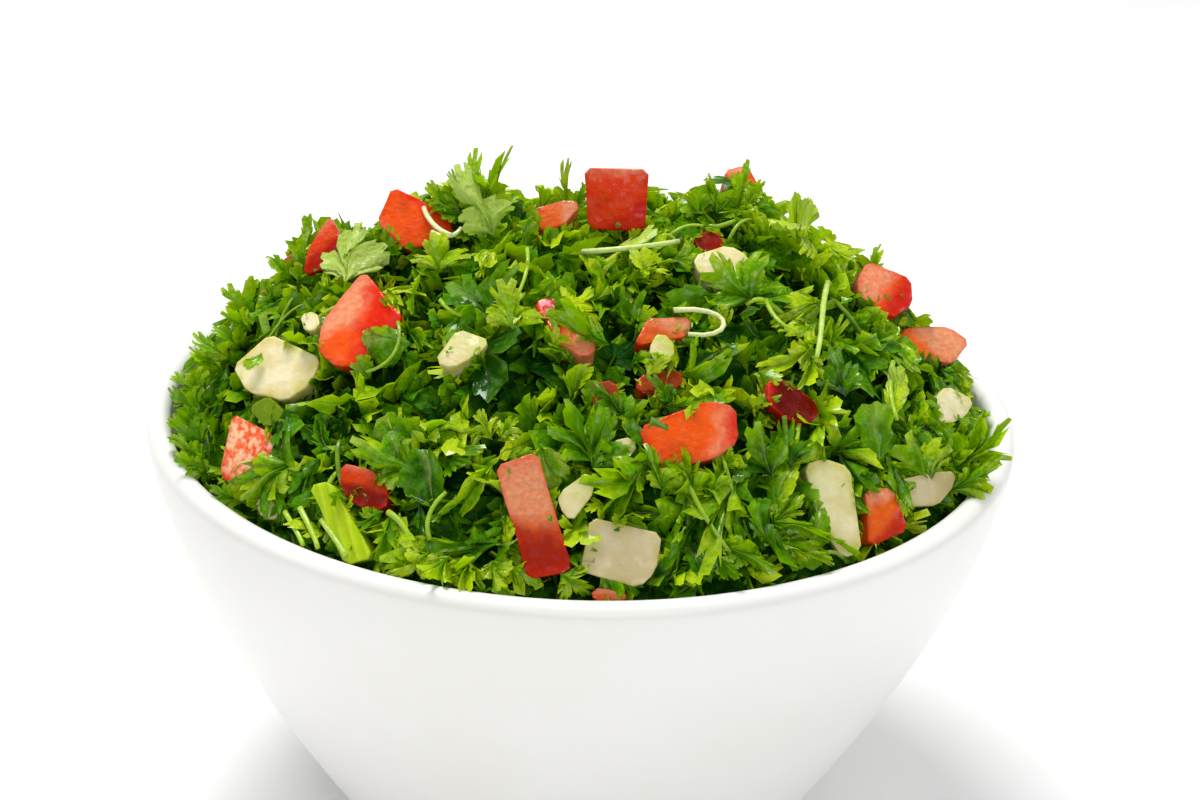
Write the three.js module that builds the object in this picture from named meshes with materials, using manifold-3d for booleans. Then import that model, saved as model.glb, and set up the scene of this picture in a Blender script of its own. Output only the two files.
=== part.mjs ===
// A small porcelain bowl heaped with tabbouleh: coarsely chopped parsley, tomato, onion and a few cut stalks.
// Millimetres, +Z up. The origin is the middle of the foot on the table; the side that is eaten from looks
// along -Y. The chopped parsley is one domed solid with a socket for every larger piece that lies in it.
import * as THREE from 'three';
import { mergeVertices } from 'three/addons/utils/BufferGeometryUtils.js';
import Module from 'manifold-3d';

const wasm = await Module();
wasm.setup();

// Driving dimensions of the bowl.
const RIM_RADIUS = 72.5;
const BOWL_HEIGHT = 74;
const FLARE = 34; // how far the wall spreads between the foot and the rim
const FLARE_POWER = 1.5;
const LIP_THICKNESS = 4.2;
const WALL_THICKENING = 1.5; // added to the lip's thickness by the time the wall meets the floor
const FLOOR_TOP = 7;
const FLOOR_FILLET = 7;
const CAVITY_HEIGHTS = [64, 54, 44, 33, 23, 14, 9.5, 7.6]; // where the inside wall has its profile points
const FOOT_RADIUS = 37;
const FOOT_WIDTH = 4;
const FOOT_HEIGHT = 2.6;
const LATHE_SEGMENTS = 52;

// Driving dimensions of the heap.
const HEAP_RADIUS = 67.3;
const HEAP_EDGE_Z = BOWL_HEIGHT - 1;
const DOME_HEIGHT = 34;
const DOME_POWER = 2.7; // above 2, so the top is broad and the sides drop steeply to the lip
const HEAP_SEGMENTS = 36;
const GAP = 0.35; // clearance between a piece and what holds it

// Radius of the outer wall at a height, and of the cavity inside it.
function outerRadius(z) {
  return RIM_RADIUS - FLARE * (1 - z / BOWL_HEIGHT) ** FLARE_POWER;
}

function innerRadius(z) {
  const wallEnd = FLOOR_TOP + FLOOR_FILLET;
  const height = Math.max(z, wallEnd);
  const thickness = LIP_THICKNESS + WALL_THICKENING * (1 - height / BOWL_HEIGHT) ** 2;
  const wall = outerRadius(height) - thickness;
  const drop = Math.min(1, Math.max(0, (wallEnd - z) / FLOOR_FILLET));
  return wall - 2 * FLOOR_FILLET * (1 - Math.sqrt(1 - drop ** 2));
}

// Height of the heap's outline over a point: a flat-topped dome with tufts, hollows and a slow ripple.
const TUFTS = [
  { x: -22, y: 6, rise: 4, spread: 8 },
  { x: 25, y: 20, rise: 4, spread: 9 },
  { x: 37, y: 2, rise: 2, spread: 8 },
  { x: -6, y: 14, rise: -3, spread: 8 },
  { x: 12, y: 16, rise: -3, spread: 7 },
  { x: -14, y: -46, rise: -2, spread: 8 },
  { x: 30, y: -54, rise: 2, spread: 8 },
  { x: -44, y: 30, rise: 2, spread: 9 },
  { x: -37, y: 17, rise: -2, spread: 6 },
  { x: 0, y: 38, rise: -5.5, spread: 16 },
  { x: 40, y: 34, rise: -3, spread: 9 },
  { x: -28, y: 34, rise: -5, spread: 9 },
];

function heapTop(x, y) {
  const reach = Math.min(1, Math.hypot(x, y) / HEAP_RADIUS);
  const dome = DOME_HEIGHT * (1 - reach ** DOME_POWER);
  const tufts = TUFTS.reduce(
    (sum, t) => sum + t.rise * Math.exp(-((x - t.x) ** 2 + (y - t.y) ** 2) / (2 * t.spread ** 2)),
    0,
  );
  const ripple = 1.3 * Math.sin(0.21 * x + 0.8) * Math.cos(0.24 * y - 0.5) + 0.9 * Math.sin(0.33 * (x - y));
  return HEAP_EDGE_Z + dome + (1 - reach ** 6) * (tufts + ripple);
}

// Tomato, cut from the walls of the fruit. Each row is the middle of the outer face; the way that face looks,
// in degrees round from the front towards +X and degrees up; how deep the piece goes under its face; and the
// face's corners, anticlockwise in its own plane, x to the right and y up the slope.
const TOMATO = [
  [[4.5, -3.5, 111], [0, 13], 5, [[-4.2, -5], [5, -5.2], [5, 5], [-5.3, 4.8]]],
  [[-28, -4, 106], [-10, 40], 7, [[-6, -1], [-0.5, -5], [4, -3.5], [7, 0], [1, 3.5], [-4.5, 5.5]]],
  [[-43, 2.5, 98], [-20, 45], 8, [[-3, -1], [-2, -5.5], [2, -3], [2.5, 2], [-1, 6]]],
  [[-36, -26, 95.5], [-25, 45], 8, [[-5.5, 0.5], [-4, -4.5], [0, -6], [4, -4.5], [8, 4], [-2, 10.5]]],
  [[-5, -4.5, 108.5], [0, 50], 5, [[-3, -3.5], [1, -2.5], [4, 1.5], [2, 2.5], [-4, 0.5]]],
  [[-2.5, -34, 101.5], [-5, 60], 5, [[-1, -3], [3.5, -6], [5.5, -3.5], [-0.5, 2.5], [-3, 5.5], [-5.5, 4]]],
  [[12.5, -33, 101], [15, 55], 5, [[-5.5, -2.6], [3.5, -1.5], [4.5, 2], [-2.5, 2]]],
  [[17, -48.5, 91], [10, 40], 7, [[-6.5, -5.5], [3, -4], [7, -1.5], [7, 4], [2.5, 5], [-8, 1.5]]],
  [[32, -38, 92], [30, 45], 7, [[-4, 0.5], [-1.5, -3], [3, -4], [4.5, -1.5], [1, 3], [-2.5, 4.5]]],
  [[49.5, 5, 93], [35, 50], 8, [[-4.5, 2.5], [-5, -1], [-1.5, -5], [4.5, -3.5], [6.5, 1], [0, 6]]],
  [[58, 4, 84.5], [40, 45], 5, [[-7, 2], [-5.5, -2], [2.5, -4.5], [8, -2], [5.5, 1.5], [-3.5, 4]]],
  [[-51.3, -35.5, 78], [-45, 40], 6, [[-3, -4.5], [0.5, -5], [5, 2], [3, 5], [-7.5, 5]]],
  [[-5, -60.5, 81], [-5, 40], 6, [[-1, -8], [5, -6.5], [5, -5], [-1.5, 11], [-7.5, 8.5]]],
  [[-31.5, -51.5, 81.5], [-25, 40], 6, [[-3.5, -1], [-0.5, -3], [4.5, -2.5], [4.5, 0.5], [0, 3], [-5, 3]]],
  [[46.6, -44.2, 76], [35, 35], 5, [[-4, -3.5], [4, -3], [3.5, 4], [-1.5, 5]]],
  [[5.5, -66.2, 73], [5, 35], 3, [[-2.5, -1], [2.5, -1], [2.5, 0.7], [-2.5, 1.2]]],
  [[12, -41.5, 96], [15, 55], 4, [[-4, -1.5], [2, -1.8], [4, 0.5], [3, 2], [-3.5, 1.5]]],
  [[4, -45.5, 95], [5, 50], 5, [[-1.5, -3], [2.5, -1.5], [1.5, 3], [-2.5, 2]]],
  [[26, 29, 103], [15, 55], 6, [[-2.5, -3], [3, -2], [2, 3], [-3, 2]]],
  [[19.5, -8.5, 106], [10, 55], 5, [[-2, -2], [2.5, -1.5], [2, 2], [-2.5, 1.5]]],
];

// Onion: cream plates and chips cut from its layers.
const ONION = [
  [[-46.5, -26, 88.5], [-35, 45], 6, [[-9.5, -2], [-4.5, -5], [3, -4.5], [6, -0.5], [5.5, 4], [-6, 5]]],
  [[-18.5, -36.5, 98], [-20, 55], 5, [[-3, -3], [0.3, -3.6], [3.5, 0], [4.4, 2.5], [-1.5, 3.6]]],
  [[22.5, -16.5, 104.5], [15, 55], 4, [[-5, -0.5], [-1.5, -3.7], [4.4, -3.2], [3.7, 2.5], [1, 4.7], [-5.3, 3]]],
  [[12, -38.6, 100.2], [10, 50], 2.5, [[-2, -1.5], [0.5, -2.5], [2.5, 0], [0.5, 3], [-1.5, 1.5]]],
  [[39.3, -47.2, 79.3], [25, 35], 5, [[-3.5, -2], [-1, -8], [2.5, -7.5], [3.6, 5.5], [-0.5, 7.5], [-4, 7]]],
  [[0, -57.5, 84.5], [0, 40], 3, [[-2.5, -1.5], [-0.5, -4], [3, 1], [2, 4], [-2.5, 0.5]]],
  [[6.5, -62.5, 79], [5, 35], 4, [[-5.6, -3.5], [3, -6], [5.5, -3.5], [6.5, 2], [1.5, 3.2], [-4, 4.5]]],
  [[6.8, -51.5, 90], [5, 45], 2.5, [[-1.5, -1.8], [2, -1.2], [1.6, 1.6], [-2, 0.8]]],
  [[55, -33.5, 76.3], [40, 35], 4, [[-6.5, -1.5], [0, -3.2], [5, -1], [6, 1], [1.5, 2], [-5.5, 2.6]]],
  [[60, -12.5, 80.5], [45, 40], 4, [[-5.5, -2.5], [2, -2.5], [5.5, -0.5], [1, 3.5], [-3, 2]]],
  [[-43, -19.5, 94.3], [-50, 50], 3, [[-3, 0], [1, -2], [3, 0], [-0.5, 2]]],
  [[-46.7, -45.8, 74.5], [-35, 35], 3, [[-3, 0.5], [0, -1.8], [3, -0.5], [0, 2]]],
];

// Cut greens: a ridged stalk near the front lip, and a short length of spring onion under the big onion plate.
const STALKS = [
  [[-34, -54, 76.8], [-25, 35], 4, [[2.5, -6], [6.5, -3.8], [-4, 5.5], [-7.5, 4]]],
  [[-48, -30.7, 83.5], [-45, 40], 4, [[-4, -1], [2, -2.6], [4.5, 1], [-1.5, 2.2]]],
];

// The far slope, out of the eater's sight, carries the same cuts: [x, y, length, width, turn in degrees].
const FAR_TOMATO = [
  [-48, 24, 11, 9, 20],
  [-22, 36, 12, 8, 75],
  [-34, 50, 10, 8, 130],
  [17.5, 57, 8, 7, 35],
  [5, 58, 13, 8, 100],
  [27, 48, 11, 9, 60],
  [47, 38, 10, 8, 150],
  [-56, 13, 9, 7, 10],
];
const FAR_ONION = [
  [-10, 50, 12, 8, 160],
  [-50, 35, 9, 7, 40],
  [13, 42, 7, 5, 20],
  [38, 48, 10, 6, 110],
  [58, 26, 9, 6, 60],
];

const TOMATO_THICK = 6;
const ONION_THICK = 4;
const CUT_SKEW = 0.16; // how far a far-side piece's edges run out of square
const CUT_CROWN = 0.5; // how far the middle of a face stands above its edge
const STALK_CROWN = 1.5;
const CORNER_ROUND = 0.9;
const EDGE_ROUND = 0.7;
const BACK_SHRINK = 0.86; // the hidden face is a little smaller than the shown one
const SOCKET_DEPTH_OVER = 9; // a socket is open this far above its piece

const PORCELAIN = { color: 0xf3f2ee, roughness: 0.2, metalness: 0 };
const PARSLEY = { color: 0x3f7d14, roughness: 0.5, metalness: 0 };
const TOMATO_RED = { color: 0xd8391c, roughness: 0.3, metalness: 0 };
const ONION_CREAM = { color: 0xe6dfc2, roughness: 0.35, metalness: 0 };
const STALK_GREEN = { color: 0x9cc030, roughness: 0.4, metalness: 0 };

// Points of an arc from one angle to another, in degrees, both ends included.
function arc(cx, cy, radius, from, to, steps) {
  return Array.from({ length: steps + 1 }, (_, i) => {
    const a = THREE.MathUtils.degToRad(from + ((to - from) * i) / steps);
    return new THREE.Vector2(cx + radius * Math.cos(a), cy + radius * Math.sin(a));
  });
}

// The bowl: one turned profile, up the outside from the foot, over the rounded lip and down the inside.
function bowlGeometry() {
  const outer = [4, 11, 20, 30, 41, 53, 64].map((z) => new THREE.Vector2(outerRadius(z), z));
  const lipRadius = LIP_THICKNESS / 2;
  const lipZ = BOWL_HEIGHT - lipRadius;
  const lip = arc(outerRadius(lipZ) - lipRadius, lipZ, lipRadius, 0, 180, 6);
  const inner = [...CAVITY_HEIGHTS, FLOOR_TOP].map((z) => new THREE.Vector2(innerRadius(z), z));
  const profile = [
    new THREE.Vector2(0, FOOT_HEIGHT),
    new THREE.Vector2(FOOT_RADIUS - FOOT_WIDTH, FOOT_HEIGHT),
    new THREE.Vector2(FOOT_RADIUS - FOOT_WIDTH, 0),
    new THREE.Vector2(FOOT_RADIUS - 0.5, 0),
    new THREE.Vector2(FOOT_RADIUS, 0.5),
    new THREE.Vector2(FOOT_RADIUS, FOOT_HEIGHT),
    ...outer,
    ...lip,
    ...inner,
    new THREE.Vector2(0, FLOOR_TOP),
  ];
  return new THREE.LatheGeometry(profile, LATHE_SEGMENTS).rotateX(Math.PI / 2);
}

// A closed skin over rings of equal length, from a bottom point up to a top point.
function skinOverRings(bottom, rings, top) {
  const count = rings[0].length;
  const positions = [bottom, ...rings.flat(), top].flat();
  const index = [];
  for (let i = 0; i < count; i += 1) {
    const j = (i + 1) % count;
    index.push(0, 1 + j, 1 + i);
    for (let k = 0; k + 1 < rings.length; k += 1) {
      const low = 1 + k * count;
      const high = low + count;
      index.push(low + i, low + j, high + j, low + i, high + j, high + i);
    }
    const last = 1 + (rings.length - 1) * count;
    index.push(last + i, last + j, 1 + rings.length * count);
  }
  const geometry = new THREE.BufferGeometry();
  geometry.setAttribute('position', new THREE.Float32BufferAttribute(positions, 3));
  geometry.setIndex(index);
  return geometry;
}

// The chopped parsley: fills the bowl to just inside the lip and rises over it in an uneven dome.
function heapGeometry() {
  const ring = (radius, height) =>
    Array.from({ length: HEAP_SEGMENTS }, (_, i) => {
      const a = (2 * Math.PI * i) / HEAP_SEGMENTS;
      const x = radius * Math.cos(a);
      const y = radius * Math.sin(a);
      return [x, y, height(x, y)];
    });
  const cavity = [FLOOR_TOP, ...CAVITY_HEIGHTS.toReversed(), BOWL_HEIGHT - 5];
  const inBowl = cavity.map((z) => ring(innerRadius(z) - GAP, () => z + GAP));
  const reaches = [1, 0.97, 0.92, 0.85, 0.76, 0.66, 0.55, 0.43, 0.3, 0.15];
  const overLip = reaches.map((reach) => ring(HEAP_RADIUS * reach, heapTop));
  return skinOverRings([0, 0, FLOOR_TOP + GAP], [...inBowl, ...overLip], [0, 0, heapTop(0, 0)]);
}

// A polygon with every corner cut back to two points.
function roundedOutline(corners, round) {
  return corners.flatMap((corner, i) => {
    const before = corners[(i + corners.length - 1) % corners.length];
    const after = corners[(i + 1) % corners.length];
    return [before, after].map((other) => {
      const length = Math.hypot(other[0] - corner[0], other[1] - corner[1]);
      const step = Math.min(round, 0.35 * length) / length;
      return [corner[0] + (other[0] - corner[0]) * step, corner[1] + (other[1] - corner[1]) * step];
    });
  });
}

// A ring of an outline shrunk or grown about its middle, lying at one height.
function outlineRing(outline, scale, z, outset = 0) {
  const cx = outline.reduce((sum, p) => sum + p[0], 0) / outline.length;
  const cy = outline.reduce((sum, p) => sum + p[1], 0) / outline.length;
  return outline.map(([x, y]) => {
    const length = Math.hypot(x - cx, y - cy);
    const s = (scale * length + outset) / length;
    return [cx + (x - cx) * s, cy + (y - cy) * s, z];
  });
}

function middleOf(ring, z) {
  const sum = ring.reduce((total, p) => [total[0] + p[0], total[1] + p[1]], [0, 0]);
  return [sum[0] / ring.length, sum[1] / ring.length, z];
}

// A knife-cut piece: slightly crowned outer face, softened edge, and a smaller hidden face.
function pieceGeometry({ corners, thick, crown }) {
  const outline = roundedOutline(corners, CORNER_ROUND);
  const rings = [
    outlineRing(outline, BACK_SHRINK, -thick),
    outlineRing(outline, 1, -EDGE_ROUND),
    outlineRing(outline, 0.86, crown * 0.3),
  ];
  return skinOverRings(middleOf(rings[0], -thick), rings, middleOf(rings[2], crown));
}

// The room a piece takes up in the heap, a clearance larger all round and open above.
function socketGeometry({ corners, thick }) {
  const rings = [
    outlineRing(corners, BACK_SHRINK, -thick - GAP, 2 * GAP),
    outlineRing(corners, 1, -EDGE_ROUND, 2 * GAP),
    outlineRing(corners, 1.12, SOCKET_DEPTH_OVER, 2 * GAP),
  ];
  return skinOverRings(middleOf(rings[0], -thick - GAP), rings, middleOf(rings[2], SOCKET_DEPTH_OVER));
}

// The turned frame of a piece: x level and to the right of someone facing it, y up the slope, z outwards.
function pieceFrame({ at, face }) {
  const [round, up] = face.map(THREE.MathUtils.degToRad);
  const level = new THREE.Vector3(Math.cos(round), Math.sin(round), 0);
  const outward = new THREE.Vector3(level.y, -level.x, Math.tan(up)).normalize();
  const slope = new THREE.Vector3().crossVectors(outward, level);
  return new THREE.Matrix4().makeBasis(level, slope, outward).setPosition(...at);
}

// A far-side piece lies flat on the slope, its corners worked out from its length and width.
function farPiece([x, y, length, width, turn], thick) {
  const step = 1.5;
  const slopeX = (heapTop(x + step, y) - heapTop(x - step, y)) / (2 * step);
  const slopeY = (heapTop(x, y + step) - heapTop(x, y - step)) / (2 * step);
  const round = THREE.MathUtils.radToDeg(Math.atan2(-slopeX, slopeY));
  const up = THREE.MathUtils.radToDeg(Math.atan(1 / Math.hypot(slopeX, slopeY)));
  const t = THREE.MathUtils.degToRad(turn);
  const square = [[-1, -1 + CUT_SKEW], [1 - CUT_SKEW, -1], [1, 1 - CUT_SKEW], [-1 + CUT_SKEW, 1]];
  const corners = square.map(([u, v]) => {
    const along = (u * length) / 2;
    const across = (v * width) / 2;
    return [along * Math.cos(t) - across * Math.sin(t), along * Math.sin(t) + across * Math.cos(t)];
  });
  return [[x, y, heapTop(x, y)], [round, up], thick, corners];
}

// Rows as pieces named prefix_01, prefix_02 and so on.
function numbered(prefix, rows, crown) {
  return rows.map(([at, face, thick, corners], i) => {
    const name = `${prefix}_${String(i + 1).padStart(2, '0')}`;
    return { name, at, face, thick, corners, crown };
  });
}

// A closed geometry as a solid, and back.
function toSolid(geometry) {
  const bare = geometry.clone();
  bare.deleteAttribute('normal');
  bare.deleteAttribute('uv');
  const merged = mergeVertices(bare, 1e-4);
  return new wasm.Manifold(
    new wasm.Mesh({
      numProp: 3,
      vertProperties: merged.attributes.position.array,
      triVerts: new Uint32Array(merged.index.array),
    }),
  );
}

function fromSolid(solid) {
  const mesh = solid.getMesh();
  const geometry = new THREE.BufferGeometry();
  geometry.setAttribute('position', new THREE.BufferAttribute(mesh.vertProperties, 3));
  geometry.setIndex(new THREE.BufferAttribute(mesh.triVerts, 1));
  geometry.computeVertexNormals();
  return geometry;
}

function namedMesh(name, geometry, finish) {
  const mesh = new THREE.Mesh(geometry, new THREE.MeshStandardMaterial(finish));
  mesh.name = name;
  return mesh;
}

const farTomato = FAR_TOMATO.map((row) => farPiece(row, TOMATO_THICK));
const farOnion = FAR_ONION.map((row) => farPiece(row, ONION_THICK));
const tomatoes = numbered('tomato', [...TOMATO, ...farTomato], CUT_CROWN);
const onions = numbered('onion', [...ONION, ...farOnion], CUT_CROWN);
const stalks = numbered('stalk', STALKS, STALK_CROWN);

// The heap with a socket cut for every piece; crumbs that a cut leaves loose are dropped.
function heapWithSockets(pieces) {
  const sockets = pieces.map((piece) => toSolid(socketGeometry(piece).applyMatrix4(pieceFrame(piece))));
  const cut = sockets.reduce((heap, socket) => heap.subtract(socket), toSolid(heapGeometry()));
  const [largest] = cut.decompose().sort((a, b) => b.volume() - a.volume());
  return fromSolid(largest);
}

function pieceMesh(piece, finish) {
  const mesh = namedMesh(piece.name, pieceGeometry(piece), finish);
  mesh.applyMatrix4(pieceFrame(piece));
  return mesh;
}

const salad = new THREE.Group();
salad.add(namedMesh('bowl', bowlGeometry(), PORCELAIN));
salad.add(namedMesh('parsley_heap', heapWithSockets([...tomatoes, ...onions, ...stalks]), PARSLEY));
for (const piece of tomatoes) salad.add(pieceMesh(piece, TOMATO_RED));
for (const piece of onions) salad.add(pieceMesh(piece, ONION_CREAM));
for (const piece of stalks) salad.add(pieceMesh(piece, STALK_GREEN));

export default salad;
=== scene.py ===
"""A small white porcelain bowl heaped with tabbouleh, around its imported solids. Lengths are millimetres here
and become metres as each piece is made. +Z is up, and the bowl's foot stands on the origin."""

import bmesh
import bpy
import numpy as np
from mathutils import Matrix


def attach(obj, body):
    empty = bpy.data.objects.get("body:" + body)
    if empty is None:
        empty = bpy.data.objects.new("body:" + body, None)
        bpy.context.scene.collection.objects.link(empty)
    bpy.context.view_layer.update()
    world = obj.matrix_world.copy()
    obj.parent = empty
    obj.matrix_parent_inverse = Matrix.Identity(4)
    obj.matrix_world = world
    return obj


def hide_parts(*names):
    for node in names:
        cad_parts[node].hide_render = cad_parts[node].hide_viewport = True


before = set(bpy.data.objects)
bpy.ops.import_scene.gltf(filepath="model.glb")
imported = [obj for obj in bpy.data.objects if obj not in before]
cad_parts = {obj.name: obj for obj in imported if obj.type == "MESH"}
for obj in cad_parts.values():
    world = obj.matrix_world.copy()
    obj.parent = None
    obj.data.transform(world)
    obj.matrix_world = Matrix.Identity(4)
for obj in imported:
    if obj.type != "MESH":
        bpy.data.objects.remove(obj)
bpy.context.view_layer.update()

# ------------------------------------------------------------------------------------------------- the bowl
# White porcelain, thrown with a wall that spreads towards a thick rounded lip, on a low turned foot ring.
# The clear glaze covers all but the ring's underside, which is wiped bare so that it can stand in the kiln.

MM = 0.001
RIM_RADIUS = 72.5
BOWL_HEIGHT = 74.0
FLARE = 34.0
FLARE_POWER = 1.5
LIP_THICKNESS = 4.2
WALL_THICKENING = 1.5
FLOOR_TOP = 7.0
FLOOR_FILLET = 7.0
FOOT_RADIUS = 37.0
FOOT_WIDTH = 4.0
FOOT_HEIGHT = 2.6
FOOT_ROUND = 0.8
FOOT_CORNER = 1.0
FOOT_FILLET = 1.2
FOOT_BLEND = 2.2
BOWL_TURNS = 160
GLAZE_SHADED = (236, 235, 230)
GLAZE = (239, 238, 235)
BARE_CLAY = (222, 217, 206)


def outer_radius(z):
    """The outside of the wall: the rim's radius less a flare that eases out with a power of the drop."""
    return RIM_RADIUS - FLARE * np.maximum(0, 1 - z / BOWL_HEIGHT) ** FLARE_POWER


def inner_radius(z):
    """The inside of the wall: the outside less a thickness that grows with the square of the drop. Under the
    fillet's top it turns in on an arc to the floor."""
    wall_end = FLOOR_TOP + FLOOR_FILLET
    height = np.maximum(z, wall_end)
    thickness = LIP_THICKNESS + WALL_THICKENING * np.maximum(0, 1 - height / BOWL_HEIGHT) ** 2
    drop = np.clip((wall_end - z) / FLOOR_FILLET, 0, 1)
    return outer_radius(height) - thickness - 2 * FLOOR_FILLET * (1 - np.sqrt(1 - drop**2))


def polar(radius, angle, *height):
    """Points at a radius and an angle about the axis, and at a height where one is given."""
    return np.stack(np.broadcast_arrays(radius * np.cos(angle), radius * np.sin(angle), *height), -1)


def arc(centre, radius, start, stop, steps):
    """Points of a circle's arc from one angle to another, in degrees, both ends included."""
    return np.array(centre) + polar(radius, np.radians(np.linspace(start, stop, steps + 1)))


def turned(profile, turns):
    """A profile of (radius, height) rows carried once round the axis, as a grid of rows by turns."""
    angle = np.linspace(0, 2 * np.pi, turns, endpoint=False)
    return polar(profile[:, :1], angle, profile[:, 1:])


def grid_faces(count, rows, columns, wrap):
    """Quads between neighbours of `count` separate grids of rows by columns, numbered row after row. With
    wrap, the last column joins the first."""
    start = np.arange(count)[:, None, None] * rows * columns
    low = start + np.arange(rows - 1)[:, None] * columns
    column = np.arange(columns if wrap else columns - 1)
    after = (column + 1) % columns
    corners = [low + column, low + after, low + columns + after, low + columns + column]
    return np.stack(corners, -1).reshape(-1, 4)


def own_squares(count, rows, strips, margin):
    """Corner uvs that lay each of `count` grids, `strips` quads wide, in a square of its own on one sheet."""
    cells = int(np.ceil(np.sqrt(count)))
    cell = np.arange(count)[:, None, None, None]
    corner = np.array([(0, 0), (0, 1), (1, 1), (1, 0)])
    row = (np.arange(rows - 1)[:, None, None] + corner[:, 0]) / (rows - 1)
    column = (np.arange(strips)[:, None] + corner[:, 1]) / strips
    u, v = (
        (place + margin + (1 - 2 * margin) * np.broadcast_to(share, (count, rows - 1, strips, 4))) / cells
        for place, share in ((cell % cells, column), (cell // cells, row))
    )
    return np.stack([u, v], -1).reshape(-1, 2)


def mesh_piece(name, points, wrap=True, margin=None, marks=()):
    """A smooth mesh of grids of millimetre points, in an array of grids by rows by columns. With wrap the
    last column joins the first, and points that coincide are merged, which shuts seams and poles. With a
    margin each grid has its own square of a uv sheet. marks are (name, one number for each point)."""
    count, rows, columns = points.shape[:3]
    faces = grid_faces(count, rows, columns, wrap)
    mesh = bpy.data.meshes.new(name)
    mesh.vertices.add(count * rows * columns)
    mesh.vertices.foreach_set("co", np.ascontiguousarray(points * MM, np.float32).ravel())
    mesh.loops.add(faces.size)
    mesh.loops.foreach_set("vertex_index", np.ascontiguousarray(faces, np.int32).ravel())
    mesh.polygons.add(len(faces))
    mesh.polygons.foreach_set("loop_start", np.arange(0, faces.size, 4, dtype=np.int32))
    mesh.update(calc_edges=True)
    if margin is not None:
        sheet = own_squares(count, rows, columns if wrap else columns - 1, margin)
        mesh.uv_layers.new(name="OFBake").uv.foreach_set("vector", sheet.astype(np.float32).ravel())
    for label, values in marks:
        mark = mesh.attributes.new(label, "FLOAT", "POINT")
        mark.data.foreach_set("value", np.ascontiguousarray(values, np.float32).ravel())
    if wrap:
        work = bmesh.new()
        work.from_mesh(mesh)
        bmesh.ops.remove_doubles(work, verts=work.verts, dist=1e-6)
        bmesh.ops.recalc_face_normals(work, faces=work.faces)
        work.to_mesh(mesh)
        work.free()
    mesh.validate()
    mesh.shade_smooth()
    piece = bpy.data.objects.new(name, mesh)
    bpy.context.scene.collection.objects.link(piece)
    return piece


def linear(red, green, blue):
    """A colour on the screen's 0 to 255 scale as the linear four numbers that a socket takes."""
    screen = np.array([red, green, blue]) / 255
    return (*np.where(screen <= 0.04045, screen / 12.92, ((screen + 0.055) / 1.055) ** 2.4), 1.0)


class Value:
    """A shader socket that takes part in arithmetic: each operator adds one Math node."""

    def __init__(self, paint, socket):
        self.paint = paint
        self.socket = socket

    def math(self, operation, *terms, clamp=False):
        settings = {"operation": operation, "use_clamp": clamp}
        return self.paint.node("ShaderNodeMath", settings, dict(enumerate(terms)))

    def __add__(self, other):
        return self.math("ADD", self, other)

    def __sub__(self, other):
        return self.math("SUBTRACT", self, other)

    def __rsub__(self, other):
        return self.math("SUBTRACT", other, self)

    def __mul__(self, other):
        return self.math("MULTIPLY", self, other)

    __radd__ = __add__
    __rmul__ = __mul__

    def clamped(self):
        return self.math("ADD", self, 0, clamp=True)

    def sine(self):
        return self.math("SINE", self)

    def ramp(self, low, high):
        """0 at low, 1 at high, smooth between and flat beyond."""
        settings = {"interpolation_type": "SMOOTHSTEP"}
        inputs = {"Value": self, "From Min": low, "From Max": high}
        return self.paint.node("ShaderNodeMapRange", settings, inputs)


class Paint:
    """A material while it is put together."""

    def __init__(self, name):
        self.material = bpy.data.materials.new(name)
        self.material.use_nodes = True
        self.tree = self.material.node_tree
        self.tree.nodes.clear()

    def node(self, kind, settings, inputs, output=0):
        """Adds a node of a type, sets its settings first and then its sockets, and gives back one output."""
        made = self.tree.nodes.new(kind)
        for key, value in settings.items():
            setattr(made, key, value)
        for key, value in inputs.items():
            if isinstance(value, Value):
                self.tree.links.new(value.socket, made.inputs[key])
            else:
                made.inputs[key].default_value = value
        return Value(self, made.outputs[output]) if len(made.outputs) else None

    def place(self):
        return self.node("ShaderNodeTexCoord", {}, {}, "Object")

    def height(self):
        return self.node("ShaderNodeSeparateXYZ", {}, {0: self.place()}, "Z")

    def mark(self, name):
        return self.node("ShaderNodeAttribute", {"attribute_name": name}, {}, "Fac")

    def noise(self, size, detail=2.0):
        """Cloudy noise about 0.5, its features about `size` millimetres across."""
        inputs = {"Vector": self.place(), "Scale": 1 / (size * MM), "Detail": detail}
        return self.node("ShaderNodeTexNoise", {}, inputs)

    def mix(self, share, low, high):
        """A mix of two colours, each a socket or three numbers on the screen's 0 to 255 scale."""
        low, high = (side if isinstance(side, Value) else linear(*side) for side in (low, high))
        return self.node("ShaderNodeMix", {"data_type": "RGBA"}, {0: share, 6: low, 7: high}, 2)

    def bump(self, height, depth):
        """A normal from a height of 0 to 1 that stands for `depth` millimetres."""
        return self.node("ShaderNodeBump", {}, {"Height": height, "Distance": depth * MM})

    def skin(self, **sockets):
        """A Principled surface; a socket's name is written with underscores."""
        inputs = {key.replace("_", " "): value for key, value in sockets.items()}
        return self.node("ShaderNodeBsdfPrincipled", {}, inputs)

    def finish(self, surface):
        self.node("ShaderNodeOutputMaterial", {}, {"Surface": surface})
        return self.material


def shown(piece, material, slot, *nodes):
    """Gives a piece its finish and hides the solids it stands in for; everything rides on the one body."""
    piece.data.materials.append(material)
    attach(piece, "root")
    if nodes:
        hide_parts(*nodes)
    return piece


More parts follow.
